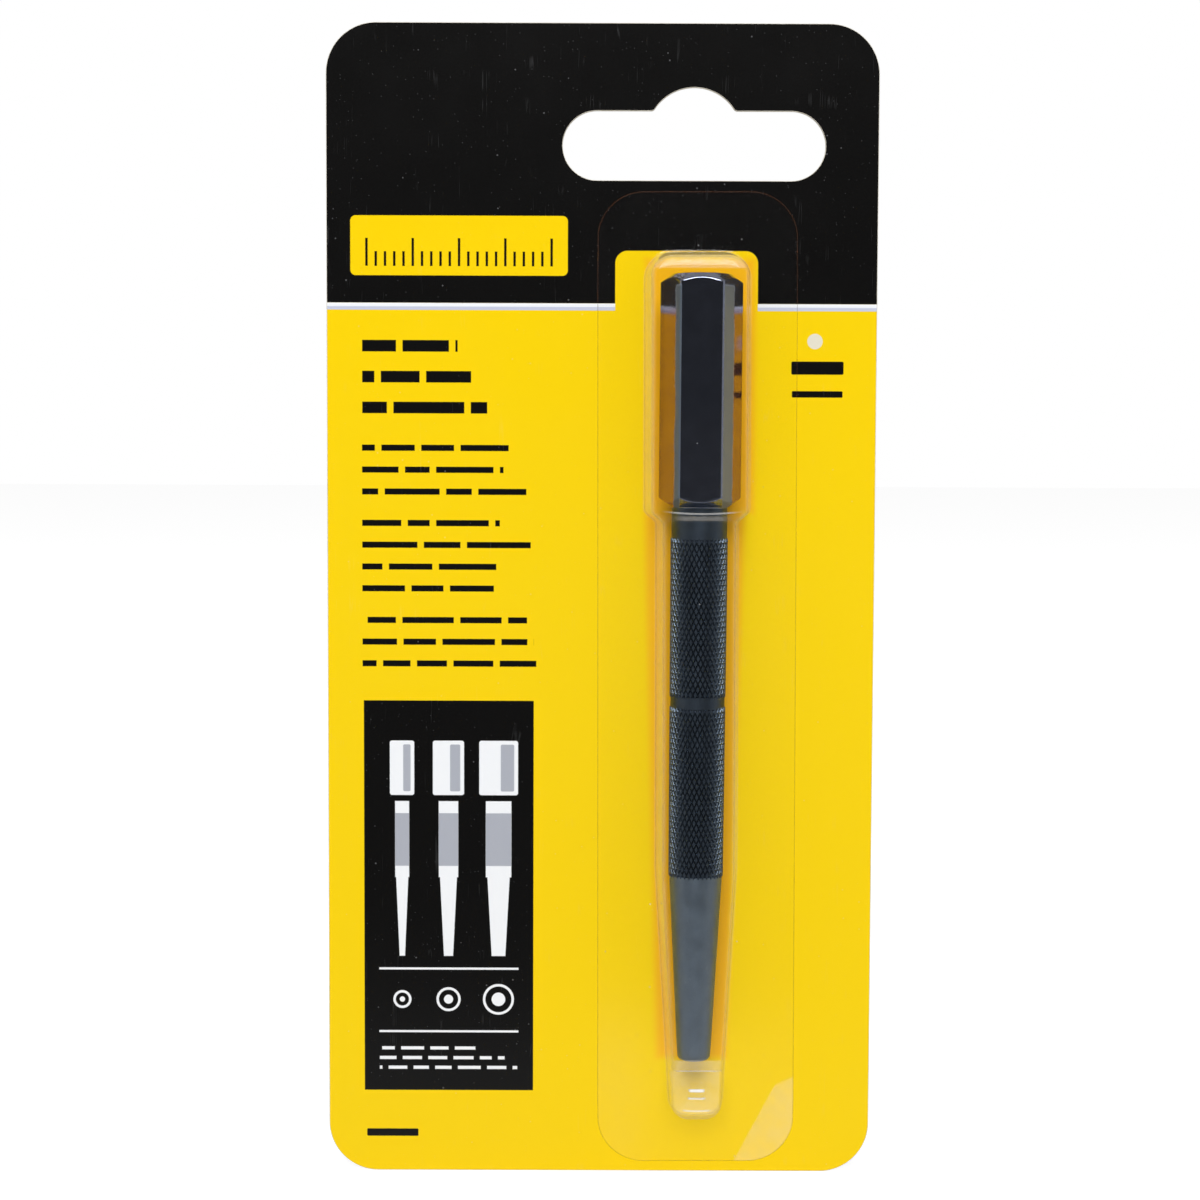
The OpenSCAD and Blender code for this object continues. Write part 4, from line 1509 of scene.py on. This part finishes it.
@dataclass(frozen=True)
class Studio:
    """A pale floor, soft light and the camera."""

    floor_z: float = -142.3
    floor_reach: float = 6000.0
    floor_tone: float = 0.7
    less_for_mirrors: float = 0.62
    less_for_camera: float = 0.35
    floor_glow: float = 0.82
    mirrored_glow: float = 0.42
    to_front: Point = (0.0, -1.0, 0.0)
    dark_over: Pair = (0.25, 0.75)
    room_light: float = 0.50
    room_dark: float = 0.045
    lamp_spot: Point = (-60.0, -1750.0, 1500.0)
    lamp_aim: Point = (-12.0, 0.0, -67.0)
    lamp_size: float = 1300.0
    lamp_power: float = 49.0
    eye: Point = (-12.35, -305.3, -46.8)
    ahead: Point = (0.00127, 0.99796, -0.0639)
    roll: float = 0.215
    lens: float = 70.0
    sensor: float = 36.0

    def floor(self) -> None:
        """A wide pale floor, white to the camera, that looks like the room in a mirror."""
        g, made, at, surface = material("pale_floor")
        path = g.node("ShaderNodeLightPath").outputs
        less = g.line(path["Is Glossy Ray"], self.less_for_mirrors,
                      g.times(path["Is Camera Ray"], self.less_for_camera))
        shade = g.minus(self.floor_tone, less)
        plain = g.node("ShaderNodeBsdfDiffuse", Color=g.join(shade, shade, shade))
        in_front = g.vector("DOT_PRODUCT", g.vector("NORMALIZE", at), self.to_front)
        mirrored = g.times(path["Is Glossy Ray"],
                           g.fall(in_front, *self.dark_over, self.mirrored_glow))
        glow = g.node("ShaderNodeEmission", Color=(1.0, 1.0, 1.0, 1.0),
                      Strength=g.line(path["Is Camera Ray"], self.floor_glow, mirrored))
        both = g.node("ShaderNodeAddShader")
        g.feed(both.inputs[0], plain.outputs[0])
        g.feed(both.inputs[1], glow.outputs[0])
        g.feed(surface, both.outputs[0])
        skin, reach = Skin(), self.floor_reach
        skin.face(skin.add([(x * reach, y * reach, self.floor_z)
                            for x, y in ((-1, -1), (1, -1), (1, 1), (-1, 1))]))
        skin.made("floor", [made], Matrix())

    def world(self) -> None:
        """An even pale room that is dark behind the camera, and white where the camera looks."""
        world = bpy.data.worlds.new("room")
        bpy.context.scene.world = world
        world.use_nodes = True
        world.node_tree.nodes.clear()
        g = Graph(world.node_tree)
        way = g.node("ShaderNodeTexCoord").outputs["Generated"]
        in_front = g.vector("DOT_PRODUCT", way, self.to_front)
        light = g.ramp(in_front, *self.dark_over, self.room_light, self.room_dark)
        seen = g.node("ShaderNodeLightPath").outputs["Is Camera Ray"]
        room = g.node("ShaderNodeBackground", Color=(1.0, 1.0, 1.0, 1.0),
                      Strength=g.most(light, seen))
        g.feed(g.node("ShaderNodeOutputWorld").inputs["Surface"], room.outputs[0])

    def lamp(self) -> None:
        """The one lamp: square and soft, in front and above."""
        data = bpy.data.lights.new("key_lamp", "AREA")
        data.shape, data.size, data.energy = "SQUARE", self.lamp_size * MM, self.lamp_power
        made = linked("key_lamp", data)
        made.location = Vector(self.lamp_spot) * MM
        way = Vector(self.lamp_aim) - Vector(self.lamp_spot)
        made.rotation_euler = way.to_track_quat("-Z", "Y").to_euler()

    def camera(self) -> None:
        """The camera where the photograph was taken from."""
        data = bpy.data.cameras.new("camera")
        data.lens, data.sensor_width = self.lens, self.sensor
        data.clip_start, data.clip_end = 0.01, 50.0
        made = linked("camera", data)
        ahead = Vector(self.ahead).normalized()
        level = ahead.cross(Vector((0, 0, 1))).normalized()
        rise = level.cross(ahead)
        r = math.radians(self.roll)
        right = level * math.cos(r) + rise * math.sin(r)
        up = right.cross(ahead)
        turn = Matrix((right, up, -ahead)).transposed().to_4x4()
        made.matrix_world = Matrix.Translation(Vector(self.eye) * MM) @ turn
        bpy.context.scene.camera = made

    def build(self) -> None:
        """Sets the whole studio."""
        bpy.context.scene.view_settings.view_transform = "Standard"
        self.floor()
        self.world()
        self.lamp()
        self.camera()


def main() -> None:
    """Builds the studio and the pack, and rides every piece."""
    logging.basicConfig(level=logging.INFO, format="%(name)s %(message)s")
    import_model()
    groups = Groups()
    Studio().build()
    settle(BackingCard().build(groups), Body.PACK, ("backing_card",))
    settle(Blister().build(groups), Body.PACK, ("blister",))
    shaft, *knurls = NailSet().build(groups)
    settle(shaft, Body.TOOL, ("nail_set",))
    for knurl in knurls:
        settle(knurl, Body.TOOL)


if __name__ == "__main__":
    main()
